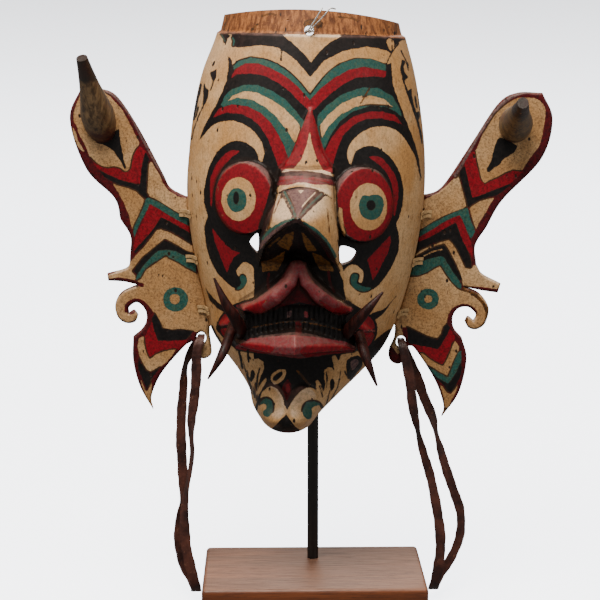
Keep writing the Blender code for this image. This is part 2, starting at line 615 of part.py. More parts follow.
def frames_along(path):
    """Side and up directions carried along a path without sudden turns."""
    path = np.asarray(path)[:, :3]
    tangents = np.gradient(path, axis=0)
    tangents /= np.linalg.norm(tangents, axis=1)[:, None]
    side = np.cross(tangents[0], (0.0, 1.0, 0.0))
    if np.linalg.norm(side) < 0.2:
        side = np.array([1.0, 0.0, 0.0])
    frames = []
    for tangent in tangents:
        side = side - tangent * np.dot(side, tangent)
        side /= np.linalg.norm(side)
        frames.append((side.copy(), np.cross(tangent, side)))
    return frames


def tube(path, radii, sides):
    rings = []
    for point, (side, up), radius in zip(path, frames_along(path), radii):
        turns = [2 * pi * k / sides for k in range(sides)]
        rings.append([point[:3] + radius * (cos(a) * side + sin(a) * up) for a in turns])
    return loft(rings)


# The mask's pieces
def tusk(name, grow):
    rows = [tuple(forward(x, z, d)) + (r,) for x, z, d, r in TUSKS[name]]
    path = np.array(smooth_path(rows, TUSK_STEPS // (len(rows) - 1)))
    return tube(path[:, :3], path[:, 3] + grow, TUSK_SIDES)


def outline_points(stretches):
    """An ear's free outline as points at an even spacing, corners kept."""
    out = []
    for stretch in stretches:
        part = even_path([(x, z, 0.0) for x, z in stretch], EAR_OUTLINE_STEP)
        out.extend([(p[0], p[1]) for p in part[:-1]])
    out.append(stretches[-1][-1])
    return out


def joint_edge(side, z):
    """The ear's inner edge, which follows the shell's edge with a gap."""
    edge = station(OUTLINE, 1 if side < 0 else 2, z)
    return float(edge + side * EAR_GAP)


def slot_ring(slot):
    cx, cz, rx, rz = slot
    return [(cx + rx * cos(a), cz + rz * sin(a)) for a in [2 * pi * k / 10 for k in range(10)]]


def prism(ring, near, far):
    """A flat outline made solid between two depths."""
    rings = [[forward(x, z, depth) for x, z in ring] for depth in (near, far)]
    bm = bmesh.new()
    low, high = [[bm.verts.new(Vector(p) * MM) for p in ring] for ring in rings]
    count = len(low)
    for k in range(count):
        bm.faces.new([low[k], low[(k + 1) % count], high[(k + 1) % count], high[k]])
    bm.faces.new(low[::-1])
    bm.faces.new(high)
    bmesh.ops.recalc_face_normals(bm, faces=bm.faces)
    bmesh.ops.triangulate(bm, faces=bm.faces)
    return bm


def ear(stretches, side):
    free = outline_points(stretches)
    # The free outline runs from the joint's top to its bottom, and the joint back up
    low = free[-1][1]
    high = free[0][1]
    inner = [(joint_edge(side, z), z) for z in np.linspace(low, high, 10)]
    free[-1] = inner[0]
    ring = free + inner[1:-1]
    ring[0] = inner[-1]
    return prism(ring, EAR_BACK, EAR_BACK + EAR_THICKNESS)


def peg(name):
    (fx, fz), (tx, tz, td) = PEGS[name]
    front = EAR_BACK + EAR_THICKNESS
    foot = forward(fx, fz, front + TOUCH_GAP)
    tip = forward(tx, tz, td)
    axis = (tip - foot) / np.linalg.norm(tip - foot)
    length = np.linalg.norm(tip - foot)
    back = np.array([0.0, 1.0, 0.0])
    rings = []
    for share, radius in PEG_PROFILE:
        # The foot lies flat on the ear, and the rings turn square to the peg above it
        lean = min(share / 0.3, 1.0)
        normal = (1 - lean) * -back + lean * axis
        normal /= np.linalg.norm(normal)
        side = np.cross(normal, (0.0, 0.0, 1.0))
        side /= np.linalg.norm(side)
        up = np.cross(normal, side)
        centre = foot + axis * length * share
        turns = [2 * pi * k / PEG_SIDES for k in range(PEG_SIDES)]
        rings.append([centre + radius * (cos(a) * side + sin(a) * up) for a in turns])
    return loft(rings)


def strip(rows, flat_way, thickness):
    """A flat strip along rows of place, width and turn about its own length."""
    rings = []
    for row, tangent in zip(rows, np.gradient(rows[:, :3], axis=0)):
        tangent = tangent / np.linalg.norm(tangent)
        turn = radians(row[4])
        flat = np.array(flat_way) - tangent * np.dot(flat_way, tangent)
        flat /= np.linalg.norm(flat)
        wide = cos(turn) * flat + sin(turn) * np.cross(tangent, flat)
        deep = np.cross(tangent, wide) * thickness / 2
        half = wide * row[3] / 2
        rings.append([row[:3] + half + deep, row[:3] - half + deep, row[:3] - half - deep, row[:3] + half - deep])
    return loft(rings)


def lashing(side, height, row):
    """One flat strand of rattan from the ear's front over the joint to the shell's side."""
    z = height + (row - 0.5) * LASHING_PITCH
    lift = LASHING_THICKNESS / 2 + LASHING_LIFT
    ear_front = EAR_BACK + EAR_THICKNESS + lift
    edge = joint_edge(side, z)
    places = [(edge + side * LASHING_ON_EAR, ear_front), (edge + side * 2.5, ear_front)]
    reach = float(station(OUTLINE, 3, z)) + lift
    for depth in LASHING_DEPTHS:
        out = (half_width(z) + lift) * np.sqrt(1 - (depth / reach) ** 2)
        places.append((float(middle(z) + side * out), depth))
    rows = [tuple(forward(x, z, depth)) + (LASHING_WIDTH, 0.0) for x, depth in places]
    return strip(np.array(rows), (0.0, 0.0, 1.0), LASHING_THICKNESS)


def strap(points):
    rows = [tuple(forward(x, z, d)) + (width, turn) for x, z, d, width, turn in points]
    return strip(np.array(smooth_path(rows, STRAP_STEPS)), (1.0, 0.0, 0.0), STRAP_THICKNESS)


# The stand's pieces
def block():
    bm = bmesh.new()
    bmesh.ops.create_cube(bm, size=1.0)
    bmesh.ops.scale(bm, vec=(BLOCK_WIDTH * MM, BLOCK_DEPTH * MM, BLOCK_HEIGHT * MM), verts=bm.verts)
    bmesh.ops.translate(bm, vec=(0, 0, BLOCK_HEIGHT / 2 * MM), verts=bm.verts)
    return bm


def rod_path():
    """Up from the block, then forward into the mask's hollow."""
    bar_z = MASK_HEIGHT - TOP_WALL - CROSSPIECE_DROP + BLOCK_HEIGHT + ROD_SHOWN
    arm_z = bar_z - CROSSPIECE_RADIUS - TOUCH_GAP - ROD_RADIUS
    low = BLOCK_HEIGHT - ROD_SOCKET + TOUCH_GAP
    points = [(0.0, ROD_Y, low), (0.0, ROD_Y, arm_z - ROD_BEND)]
    for k in range(1, 6):
        a = pi / 2 * k / 6
        points.append((0.0, ROD_Y - ROD_BEND * (1 - cos(a)), arm_z - ROD_BEND * (1 - sin(a))))
    points.append((0.0, ROD_Y - ROD_BEND, arm_z))
    points.append((0.0, MASK_BACK_Y - ARM_REACH, arm_z))
    return points, bar_z


def curve_tube(name, points, radius, resolution):
    curve = bpy.data.curves.new(name, "CURVE")
    curve.dimensions = "3D"
    curve.bevel_depth = radius * MM
    curve.bevel_resolution = resolution
    curve.use_fill_caps = True
    spline = curve.splines.new("POLY")
    spline.points.add(len(points) - 1)
    for point, place in zip(spline.points, points):
        point.co = (place[0] * MM, place[1] * MM, place[2] * MM, 1.0)
    return bpy.data.objects.new(name, curve)


# Materials, modifiers and collections
def material(name):
    colour, roughness, metallic = COLOURS[name]
    made = bpy.data.materials.get(name) or bpy.data.materials.new(name)
    made.use_nodes = True
    shader = made.node_tree.nodes["Principled BSDF"]
    shader.inputs["Base Color"].default_value = (*colour, 1.0)
    shader.inputs["Roughness"].default_value = roughness
    shader.inputs["Metallic"].default_value = metallic
    made.diffuse_color = (*colour, 1.0)
    return made


def cut(obj, cutter):
    modifier = obj.modifiers.new("cut_" + cutter.name, "BOOLEAN")
    modifier.operation = "DIFFERENCE"
    modifier.solver = "EXACT"
    modifier.object = cutter


def main():
    for obj in list(bpy.data.objects):
        bpy.data.objects.remove(obj, do_unlink=True)
    scene = bpy.context.scene
    parts = bpy.data.collections.new("hudoq_mask")
    cutters = bpy.data.collections.new("cutters")
    scene.collection.children.link(parts)
    scene.collection.children.link(cutters)
    mask_place = (0.0, MASK_BACK_Y, BLOCK_HEIGHT + ROD_SHOWN)

    def keep(obj, finish, smooth=True):
        parts.objects.link(obj)
        obj.data.materials.append(material(finish))
        if smooth and obj.type == "MESH":
            obj.data.shade_smooth()
            obj.data.set_sharp_from_angle(angle=radians(40.0))
        return obj

    def cutter(name, bm, location):
        obj = new_object(name, bm, location)
        cutters.objects.link(obj)
        obj.hide_render = True
        obj.display_type = "WIRE"
        return obj

    face = keep(new_object("mask_face", shell_mesh(), mask_place), "painted_wood")
    thin = face.modifiers.new("fewer_faces", "DECIMATE")
    thin.ratio = SHELL_KEEP
    through = SHELL_WALL + 140.0
    for name, ring in (("peep_left", PEEP_LEFT), ("peep_right", PEEP_RIGHT)):
        cut(face, cutter(name, prism(ring, 20.0, through), mask_place))
    wx, drop, wr = WIRE_HOLE
    wz = MASK_HEIGHT - drop
    ring = [(wx + wr * cos(2 * pi * k / 10), wz + wr * sin(2 * pi * k / 10)) for k in range(10)]
    cut(face, cutter("wire_hole", prism(ring, 40.0, through), mask_place))
    for name in TUSKS:
        keep(new_object(name, tusk(name, 0.0), mask_place), "tusk_wood")
        cut(face, cutter(name + "_socket", tusk(name, FIT_GAP), mask_place))

    for name, stretches, side, slot in (
        ("ear_left", EAR_LEFT, -1, SLOT_LEFT),
        ("ear_right", EAR_RIGHT, 1, SLOT_RIGHT),
    ):
        board = keep(new_object(name, ear(stretches, side), mask_place), "ear_wood", smooth=False)
        slot_cutter = prism(slot_ring(slot), EAR_BACK - 2.0, EAR_BACK + EAR_THICKNESS + 2.0)
        cut(board, cutter(name + "_slot", slot_cutter, mask_place))
    for name in PEGS:
        keep(new_object(name, peg(name), mask_place), "peg_wood")
    for word, side in (("left", -1), ("right", 1)):
        for i, height in enumerate(LASHING_HEIGHTS[word]):
            for row in (0, 1):
                name = f"lashing_{word}_{i + 1}_{'low' if row == 0 else 'high'}"
                keep(new_object(name, lashing(side, height, row), mask_place), "rattan", smooth=False)
    keep(new_object("strap_left", strap(STRAP_LEFT), mask_place), "leather", smooth=False)
    keep(new_object("strap_right", strap(STRAP_RIGHT), mask_place), "leather", smooth=False)
    wire_rows = even_path([tuple(forward(x, MASK_HEIGHT - drop, d)) for x, drop, d in WIRE_POINTS], WIRE_STEP)
    wire = keep(curve_tube("tie_wire", wire_rows, WIRE_RADIUS, 1), "wire")
    wire.location = Vector(mask_place) * MM

    base = keep(new_object("stand_block", block()), "walnut", smooth=False)
    soften = base.modifiers.new("soft_edges", "BEVEL")
    soften.width = BLOCK_EDGE * MM
    soften.segments = 2
    points, bar_z = rod_path()
    keep(curve_tube("stand_rod", points, ROD_RADIUS, 3), "black_steel")
    bore = bmesh.new()
    bmesh.ops.create_cone(
        bore, cap_ends=True, segments=24, radius1=(ROD_RADIUS + FIT_GAP) * MM,
        radius2=(ROD_RADIUS + FIT_GAP) * MM, depth=2 * ROD_SOCKET * MM,
    )
    cut(base, cutter("rod_bore", bore, (0.0, ROD_Y, BLOCK_HEIGHT)))
    bar_y = MASK_BACK_Y - CROSSPIECE_DEPTH
    ends = [(-CROSSPIECE_LENGTH / 2, bar_y, bar_z), (CROSSPIECE_LENGTH / 2, bar_y, bar_z)]
    keep(curve_tube("stand_crosspiece", ends, CROSSPIECE_RADIUS, 2), "black_steel")


main()
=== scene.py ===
"""Looks of the hudoq mask on its stand: paint, wood, hide, wire and light.

The forms repeat the functions and sizes of the solids at a finer step. Paint is
laid on the carved surface as areas of colour, each with its own signed distance
from its outline, and the materials turn those distances into worn brushwork.
"""
from math import atan2, cos, pi, radians, sin

import bmesh
import bpy
import numpy as np
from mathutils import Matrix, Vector
from mathutils.geometry import delaunay_2d_cdt


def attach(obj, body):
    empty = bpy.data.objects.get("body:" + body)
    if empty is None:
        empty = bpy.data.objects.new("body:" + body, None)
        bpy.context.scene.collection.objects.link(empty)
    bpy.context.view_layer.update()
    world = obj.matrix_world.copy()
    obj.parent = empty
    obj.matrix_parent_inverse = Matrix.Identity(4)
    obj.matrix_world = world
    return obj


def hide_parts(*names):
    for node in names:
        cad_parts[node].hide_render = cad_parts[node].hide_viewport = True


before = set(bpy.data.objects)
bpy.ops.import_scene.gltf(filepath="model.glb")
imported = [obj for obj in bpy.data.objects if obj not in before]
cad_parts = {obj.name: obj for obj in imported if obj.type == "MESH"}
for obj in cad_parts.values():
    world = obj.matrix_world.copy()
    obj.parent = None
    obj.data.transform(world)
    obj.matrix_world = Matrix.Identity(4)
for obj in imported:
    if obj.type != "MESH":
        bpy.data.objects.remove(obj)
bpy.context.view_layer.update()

MM = 0.001

# Gap between pieces that touch
TOUCH_GAP = 0.3

# Wooden block and black rod
BLOCK_WIDTH = 216.0
BLOCK_DEPTH = 127.0
BLOCK_HEIGHT = 40.0
ROD_RADIUS = 5.5
ROD_Y = 29.0
ROD_SOCKET = 22.0
ROD_SHOWN = 155.0
ROD_BEND = 15.0
ROD_BEND_STEPS = 6
CROSSPIECE_RADIUS = 3.0
CROSSPIECE_LENGTH = 92.0
# Places behind the top wall: below the wall, and forward of the mask's back
CROSSPIECE_DROP = 14.0
CROSSPIECE_DEPTH = 42.0
ARM_REACH = 50.0

# Mask shell. Depths are measured forward from its flat back
MASK_HEIGHT = 387.0
MASK_BACK_Y = 22.0
SHELL_WALL = 11.0
TOP_WALL = 13.0
CHIN_WALL = 24.0
BAND_HEIGHT = 22.0
BAND_INSET = 3.0
CARVE_SOFTNESS = 3.0
# The shell's middle across, and how the band's edge and the arched top run from there
SHELL_MIDDLE = -10.0
BAND_SLOPE = 0.025
TOP_SLOPE = 0.03
TOP_ARCH = 0.00125
# Share of the height where the arch sets in, and the share over which it grows
FRONT_ARCH = (0.965, 0.07)
HOLLOW_ARCH = (0.93, 0.14)
# Heights over which the hollow's ends are rounded
HOLLOW_LOW_ROUNDING = 38.0
HOLLOW_TOP_ROUNDING = 9.0

# Outline of the shell: height, left edge, right edge and depth at the middle
OUTLINE = [
    (0.0, -53.5, 2.5, 90.0),
    (10.0, -59.5, 10.5, 97.0),
    (25.0, -63.0, 27.0, 92.0),
    (45.0, -74.5, 49.5, 83.0),
    (65.0, -89.0, 67.5, 84.0),
    (84.0, -99.5, 77.5, 90.0),
    (108.0, -104.5, 86.0, 96.0),
    (150.0, -113.8, 97.0, 100.0),
    (187.0, -119.5, 103.5, 102.0),
    (218.0, -121.3, 106.5, 102.0),
    (255.0, -118.7, 106.0, 100.0),
    (291.0, -114.0, 102.0, 96.0),
    (330.0, -105.0, 95.0, 90.0),
    (365.0, -91.5, 85.5, 83.0),
    (387.0, -86.0, 80.0, 77.0),
]

# Raised triangle above the nose: height, left edge, right edge
BRIDGE = [
    (246.0, -32.0, 14.5),
    (262.0, -21.5, 5.0),
    (282.0, -15.0, 0.5),
    (300.0, -6.5, -4.0),
]
BRIDGE_TIP_RISE = 3.0
BRIDGE_FOOT_RISE = 14.0
BRIDGE_SWELL = 0.7

# Snout: height, left edge, crest, right edge, crest depth, edge depth
SNOUT = [
    (150.0, -50.5, -16.0, 19.0, 150.0, 98.0),
    (172.0, -51.3, -16.5, 20.0, 168.0, 106.0),
    (190.0, -49.5, -17.5, 19.5, 170.0, 109.0),
    (208.5, -44.5, -19.0, 16.5, 168.0, 112.0),
    (222.0, -37.5, -12.5, 15.4, 151.0, 112.0),
    (232.0, -35.0, -8.5, 15.2, 138.0, 112.0),
    (240.0, -33.0, -8.5, 15.0, 131.0, 112.0),
    (247.0, -32.0, -8.5, 14.5, 123.0, 108.0),
]
SNOUT_TOP = 247.0
# Lower rim of the snout: place across and height
SNOUT_RIM = [
    (-52.0, 156.0),
    (-48.1, 174.4),
    (-42.7, 186.4),
    (-33.2, 198.5),
    (-19.0, 209.0),
    (-6.3, 199.5),
    (7.3, 184.5),
    (17.9, 163.0),
    (21.0, 155.0),
]
SNOUT_RIM_THICKNESS = 7.0
SNOUT_SEAM_STEP = 2.0
SNOUT_SEAM_HEIGHT = 234.0
SNOUT_SEAM_MIDDLE = -8.5
SNOUT_SEAM_BOW = 0.016
# Shares of the snout's section that are round and straight
HOOD_ROUND = 0.72
HOOD_STRAIGHT = 0.28
# Underside of the snout: reach below the rim, slope, half width of its keel and flare beside it
UNDER_REACH = 60
UNDER_SLOPE = 1.05
UNDER_KEEL = 30.0
UNDER_FLARE = 9.0
# Hollow under the snout: height, half width, half height and depth
NOSTRIL = (171.0, 9.0, 7.0, 16.0)

# Eyes: centre, half width, half height
EYE_LEFT = (-65.6, 219.4, 26.5, 32.5)
EYE_RIGHT = (43.5, 213.0, 27.0, 34.0)
EYE_DEPTH = 97.0
EYE_SLOPE = 0.62
EYE_DOME = 3.0
EYE_WALL_SHIFT = 5.0
EYE_WALL_DROP = 0.3

# Holes to see through, beside the snout
PEEP_LEFT = [(-60.5, 178.0), (-57.5, 184.0), (-52.5, 187.0), (-52.8, 170.5), (-57.0, 172.5)]
PEEP_RIGHT = [(21.5, 175.5), (30.0, 175.0), (36.5, 170.0), (33.0, 162.5), (26.5, 159.5), (22.0, 160.5)]

# Mouth: the muzzle's middle, its half width and its depth
MOUTH_MIDDLE = -18.5
MUZZLE_HALF = 60.0
MUZZLE_DEPTH = 116.0
MUZZLE_SIDE_DEPTH = 62.0
MUZZLE_LOW = 80.0
MUZZLE_MARGIN = 10.0
TOOTH_PITCH = 4.6
TOOTH_GROOVE = 1.6
TOOTH_GAP = 0.8
TEETH_LINE = 111.5
TEETH_LINE_DROP = 0.0062
TEETH_LINE_HALF = 0.6
TEETH_LINE_SOFTNESS = 1.4
TEETH_TOP = 125.0
GUM_RISE = 3.0
# Upper lip, left roll: place across, height, depth, radius
LIP_ROLL_LEFT = [
    (-18.5, 160.0, 124.0, 5.5),
    (-24.5, 147.0, 131.0, 6.5),
    (-38.0, 134.0, 133.0, 7.5),
    (-51.0, 124.0, 122.0, 6.5),
    (-64.0, 118.5, 103.0, 4.0),
]
LIP_ROLL_RIGHT = [
    (-14.0, 160.0, 124.0, 5.5),
    (-8.5, 147.0, 131.0, 6.5),
    (3.5, 134.5, 133.0, 7.5),
    (15.5, 124.5, 122.0, 6.5),
    (29.0, 117.0, 101.0, 4.0),
]
# Lower lip: place across, lower edge, upper edge, depth of the keel line
LOWER_LIP = [
    (-74.0, 83.0, 86.0, 88.0),
    (-59.5, 82.0, 94.5, 108.0),
    (-40.0, 82.5, 99.5, 130.0),
    (-20.0, 84.0, 103.0, 146.0),
    (5.0, 82.5, 97.0, 124.0),
    (26.0, 79.0, 89.5, 101.0),
    (38.0, 76.0, 80.0, 86.0),
]
LIP_CHAMFER = 8.0
# Place of the keel as a share of the lip's height
LIP_KEEL = 0.45
LIP_UNDERCUT = 2.0
# Corners of the mouth: tip and root across, height, half height
CORNER_LEFT = (-91.5, -74.0, 95.0, 17.0)
CORNER_RIGHT = (58.0, 41.0, 90.0, 15.0)
CORNER_RISE = 8.0
CORNER_SLOPE = 0.9
CORNER_START = -0.3
CORNER_MARGIN = 2.0
CORNER_SOFTNESS = 8.0
CORNER_CREASE_HALF = 1.6
CORNER_CREASE_DEPTH = 0.25
# A distance that is outside any of these forms
OUTSIDE = -9.0

# Bosses on the chin: centre, half width, half height
CHIN_BOSSES = [(-41.5, 26.0, 14.5, 20.0), (-12.0, 25.0, 15.0, 19.5)]
CHIN_RISE = 5.0
CHIN_MARGIN = 1.0
CHIN_SOFTNESS = 7.0

# Hole at the brow for the tie wire: place across, drop below the shell's top, radius
WIRE_HOLE = (-6.0, 18.5, 4.5)

# Tusks: place across, height, depth, radius, from the root to the tip
TUSKS = {
    "tusk_upper_left": [
        (-65.5, 84.0, 64.0, 5.2),
        (-68.5, 98.0, 92.0, 5.9),
        (-73.5, 112.0, 107.0, 5.6),
        (-82.0, 127.0, 113.0, 4.2),
        (-92.3, 149.5, 110.0, 0.9),
    ],
    "tusk_lower_left": [
        (-75.5, 102.0, 60.0, 4.0),
        (-79.0, 93.0, 88.0, 4.6),
        (-86.5, 77.0, 106.0, 4.0),
        (-98.7, 56.4, 110.0, 0.8),
    ],
    "tusk_upper_right": [
        (20.5, 82.5, 64.0, 5.2),
        (27.5, 95.0, 92.0, 5.9),
        (34.8, 106.5, 106.0, 5.6),
        (45.5, 120.5, 113.0, 4.3),
        (59.9, 136.2, 110.0, 1.0),
    ],
    "tusk_lower_right": [
        (36.5, 100.0, 60.0, 4.4),
        (40.5, 90.0, 87.0, 5.0),
        (45.0, 75.5, 104.0, 4.4),
        (55.2, 49.2, 110.0, 0.9),
    ],
}

# Ear boards
EAR_THICKNESS = 9.0
EAR_BACK = 3.0
EAR_GAP = 0.6
# Free outline of each ear from the top of its joint round to the bottom.
# Each stretch is a smooth curve, and stretches meet at corners
EAR_LEFT = [
    [(-121.8, 211.4), (-136.8, 220.1), (-144.2, 234.4), (-166.2, 277.0), (-185.4, 306.1),
     (-200.0, 313.5), (-218.9, 315.4)],
    [(-218.9, 315.4), (-230.5, 285.0), (-216.1, 238.3), (-190.2, 210.6), (-184.7, 190.0)],
    [(-184.7, 190.0), (-175.5, 174.0), (-176.0, 156.7)],
    [(-176.0, 156.7), (-179.0, 143.5), (-198.4, 137.4)],
    [(-198.4, 137.4), (-197.6, 130.6)],
    [(-197.6, 130.6), (-183.0, 129.6), (-169.5, 126.6)],
    [(-169.5, 126.6), (-185.4, 118.8), (-191.4, 106.6), (-188.7, 94.4), (-181.1, 89.0),
     (-172.5, 90.2), (-169.4, 96.7)],
    [(-169.4, 96.7), (-173.4, 101.6), (-178.3, 98.8)],
    [(-178.3, 98.8), (-178.2, 104.5), (-170.2, 109.3), (-162.6, 102.0), (-161.5, 92.0),
     (-166.0, 83.0), (-174.6, 75.6)],
    [(-174.6, 75.6), (-175.0, 52.0), (-168.8, 26.0), (-156.5, 2.9)],
    [(-156.5, 2.9), (-158.0, 15.9), (-148.0, 39.0), (-126.5, 64.5), (-117.0, 71.0)],
    [(-117.0, 71.0), (-115.5, 60.0), (-107.5, 53.5), (-99.5, 57.5), (-99.3, 66.0), (-100.8, 78.0),
     (-100.4, 86.5)],
]
EAR_RIGHT = [
    [(107.4, 212.9), (118.5, 216.7), (128.9, 228.1), (151.6, 263.3), (175.1, 299.2), (193.0, 309.5),
     (216.5, 309.4)],
    [(216.5, 309.4), (226.8, 284.0), (217.0, 247.0), (180.9, 207.9), (165.5, 181.0)],
    [(165.5, 181.0), (155.5, 164.0), (156.8, 145.6)],
    [(156.8, 145.6), (163.0, 136.0), (180.8, 126.5)],
    [(180.8, 126.5), (178.1, 117.6)],
    [(178.1, 117.6), (163.0, 119.8), (146.5, 123.2)],
    [(146.5, 123.2), (160.5, 117.0), (169.6, 103.0), (166.6, 87.6), (158.5, 81.6), (150.7, 83.0),
     (146.8, 89.2)],
    [(146.8, 89.2), (149.8, 94.2), (155.4, 90.2)],
    [(155.4, 90.2), (157.6, 96.0), (150.3, 103.3), (141.0, 102.6), (135.2, 95.0), (136.0, 83.5),
     (144.1, 73.4)],
    [(144.1, 73.4), (149.2, 52.0), (142.1, 18.6), (125.9, -5.5)],
    [(125.9, -5.5), (127.7, 5.6), (118.5, 31.5), (99.0, 62.0), (92.5, 65.5)],
    [(92.5, 65.5), (91.5, 55.0), (83.0, 47.5), (74.5, 51.5), (73.6, 61.5), (78.6, 74.0), (79.2, 87.0)],
]
# Strap slots: centre across and height, half width, half height
SLOT_LEFT = (-108.8, 74.0, 4.8, 6.0)
SLOT_RIGHT = (85.0, 69.5, 4.8, 6.0)

# Ear pegs: foot and tip as place across, height and depth, with radii along the peg
PEGS = {
    "ear_peg_left": ((-200.5, 276.0), (-212.0, 343.8, 60.0)),
    "ear_peg_right": ((190.0, 276.0), (185.5, 304.5, 90.0)),
}
PEG_PROFILE = [
    (0.0, 13.0), (0.10, 15.3), (0.24, 15.6), (0.42, 12.6), (0.62, 9.4), (0.82, 7.0), (1.0, 5.2),
]
# Place and radius of its blunt end
PEG_END = (1.015, PEG_PROFILE[-1][1] * 0.7)

# Leather straps, one loop through each ear's slot, with both ends in the slot:
# place across, height, depth, width, and the strip's turn in degrees
STRAP_THICKNESS = 2.0
STRAP_LEFT = [
    (-108.7, 75.8, 3.5, 6.5, 0), (-108.8, 75.6, 10.5, 7.0, 0), (-110.2, 71.5, 15.5, 8.0, 0),
    (-112.8, 62.0, 17.5, 9.5, 0), (-114.0, 34.0, 18.0, 10.0, 0), (-116.2, 14.0, 17.5, 9.5, 0),
    (-118.8, -4.0, 17.5, 9.0, 10), (-119.5, -19.0, 17.5, 8.5, 55), (-118.3, -38.0, 17.5, 8.5, 60),
    (-120.5, -56.0, 17.5, 8.5, 65), (-124.6, -77.0, 17.5, 8.5, 60), (-127.0, -95.0, 17.5, 8.5, 30),
    (-127.0, -112.0, 18.0, 9.5, 0), (-125.8, -133.0, 18.0, 10.0, 0), (-122.0, -153.5, 18.0, 10.0, 0),
    (-117.6, -173.0, 16.0, 10.0, 0), (-116.8, -183.5, 8.5, 10.0, 0), (-118.0, -185.0, -0.5, 9.5, 0),
    (-122.5, -177.0, -7.0, 9.0, 0), (-131.0, -159.5, -8.0, 9.0, 10), (-134.7, -137.5, -8.0, 9.0, 20),
    (-133.4, -115.5, -8.0, 9.0, 30), (-129.6, -94.5, -7.5, 9.0, 55), (-129.4, -78.0, -7.0, 9.0, 10),
    (-129.8, -58.0, -7.0, 10.0, 0), (-130.8, -32.5, -7.0, 10.0, 0), (-130.0, -7.0, -6.5, 9.5, 5),
    (-128.0, 18.5, -6.0, 9.0, 20), (-126.3, 41.0, -5.5, 9.0, 60), (-119.0, 58.0, -4.5, 9.0, 20),
    (-111.5, 69.5, -2.5, 8.0, 0), (-109.0, 73.0, 3.0, 7.0, 0), (-108.8, 72.6, 9.5, 6.5, 0),
]
STRAP_RIGHT = [
    (85.0, 71.3, 3.5, 6.5, 0), (85.1, 71.1, 10.5, 7.0, 0), (86.0, 67.0, 15.5, 8.0, 0),
    (88.0, 59.0, 17.5, 9.5, 0), (93.5, 33.0, 18.0, 10.0, 0), (95.8, 13.0, 17.5, 9.5, 0),
    (98.9, -5.0, 17.5, 8.5, 20), (102.3, -20.0, 17.5, 8.0, 62), (107.7, -40.0, 17.5, 8.5, 20),
    (116.0, -69.0, 17.5, 9.0, 0), (124.0, -111.0, 18.0, 10.0, 0), (125.8, -136.5, 18.0, 10.0, 0),
    (123.7, -158.0, 18.0, 10.0, 0), (120.8, -175.0, 15.5, 10.0, 0), (120.4, -183.5, 7.5, 10.0, 0),
    (122.5, -184.0, -1.0, 9.5, 0), (129.0, -173.5, -7.5, 9.0, 0), (140.5, -155.0, -8.0, 9.0, 0),
    (148.2, -133.0, -8.0, 9.0, 10), (148.2, -109.0, -8.0, 9.0, 10), (141.4, -88.0, -8.0, 9.5, 0),
    (133.4, -65.0, -7.5, 9.0, 5), (128.7, -49.5, -7.5, 9.0, 20), (123.3, -29.0, -7.0, 8.0, 62),
    (119.0, -11.5, -7.0, 9.0, 25), (109.8, 10.0, -6.5, 10.0, 0), (101.5, 32.5, -6.0, 10.0, 10),
    (93.3, 51.0, -4.5, 9.0, 10), (87.0, 64.0, -2.5, 8.0, 0), (85.2, 68.5, 3.0, 7.0, 0),
    (85.0, 68.1, 9.5, 6.5, 0),
]

# Tie wire, from its free end through the brow hole, round the crosspiece and back:
# place across, drop below the shell's top, depth
WIRE_RADIUS = 0.7
WIRE_POINTS = [
    (17.5, -0.5, 79.5), (12.5, -1.0, 80.0), (8.5, 3.5, 81.0), (4.0, 8.5, 81.5), (-1.0, 13.5, 82.0),
    (-4.8, 17.4, 81.5), (-5.6, 18.0, 76.0), (-7.2, 18.4, 64.0), (-8.8, 19.6, 52.0), (-8.8, 21.4, 44.0),
    (-8.8, 23.0, 39.4), (-8.8, 27.2, 37.0), (-9.2, 31.2, 39.0), (-9.6, 32.0, 43.5), (-9.8, 29.6, 48.0),
    (-9.8, 25.6, 52.0), (-9.6, 22.4, 58.0), (-8.6, 20.6, 68.0), (-7.6, 19.6, 78.0), (-6.8, 18.0, 84.0),
    (-4.0, 13.4, 85.0), (-0.5, 8.0, 84.8), (3.0, 2.5, 84.2), (5.5, -1.5, 83.0),
]

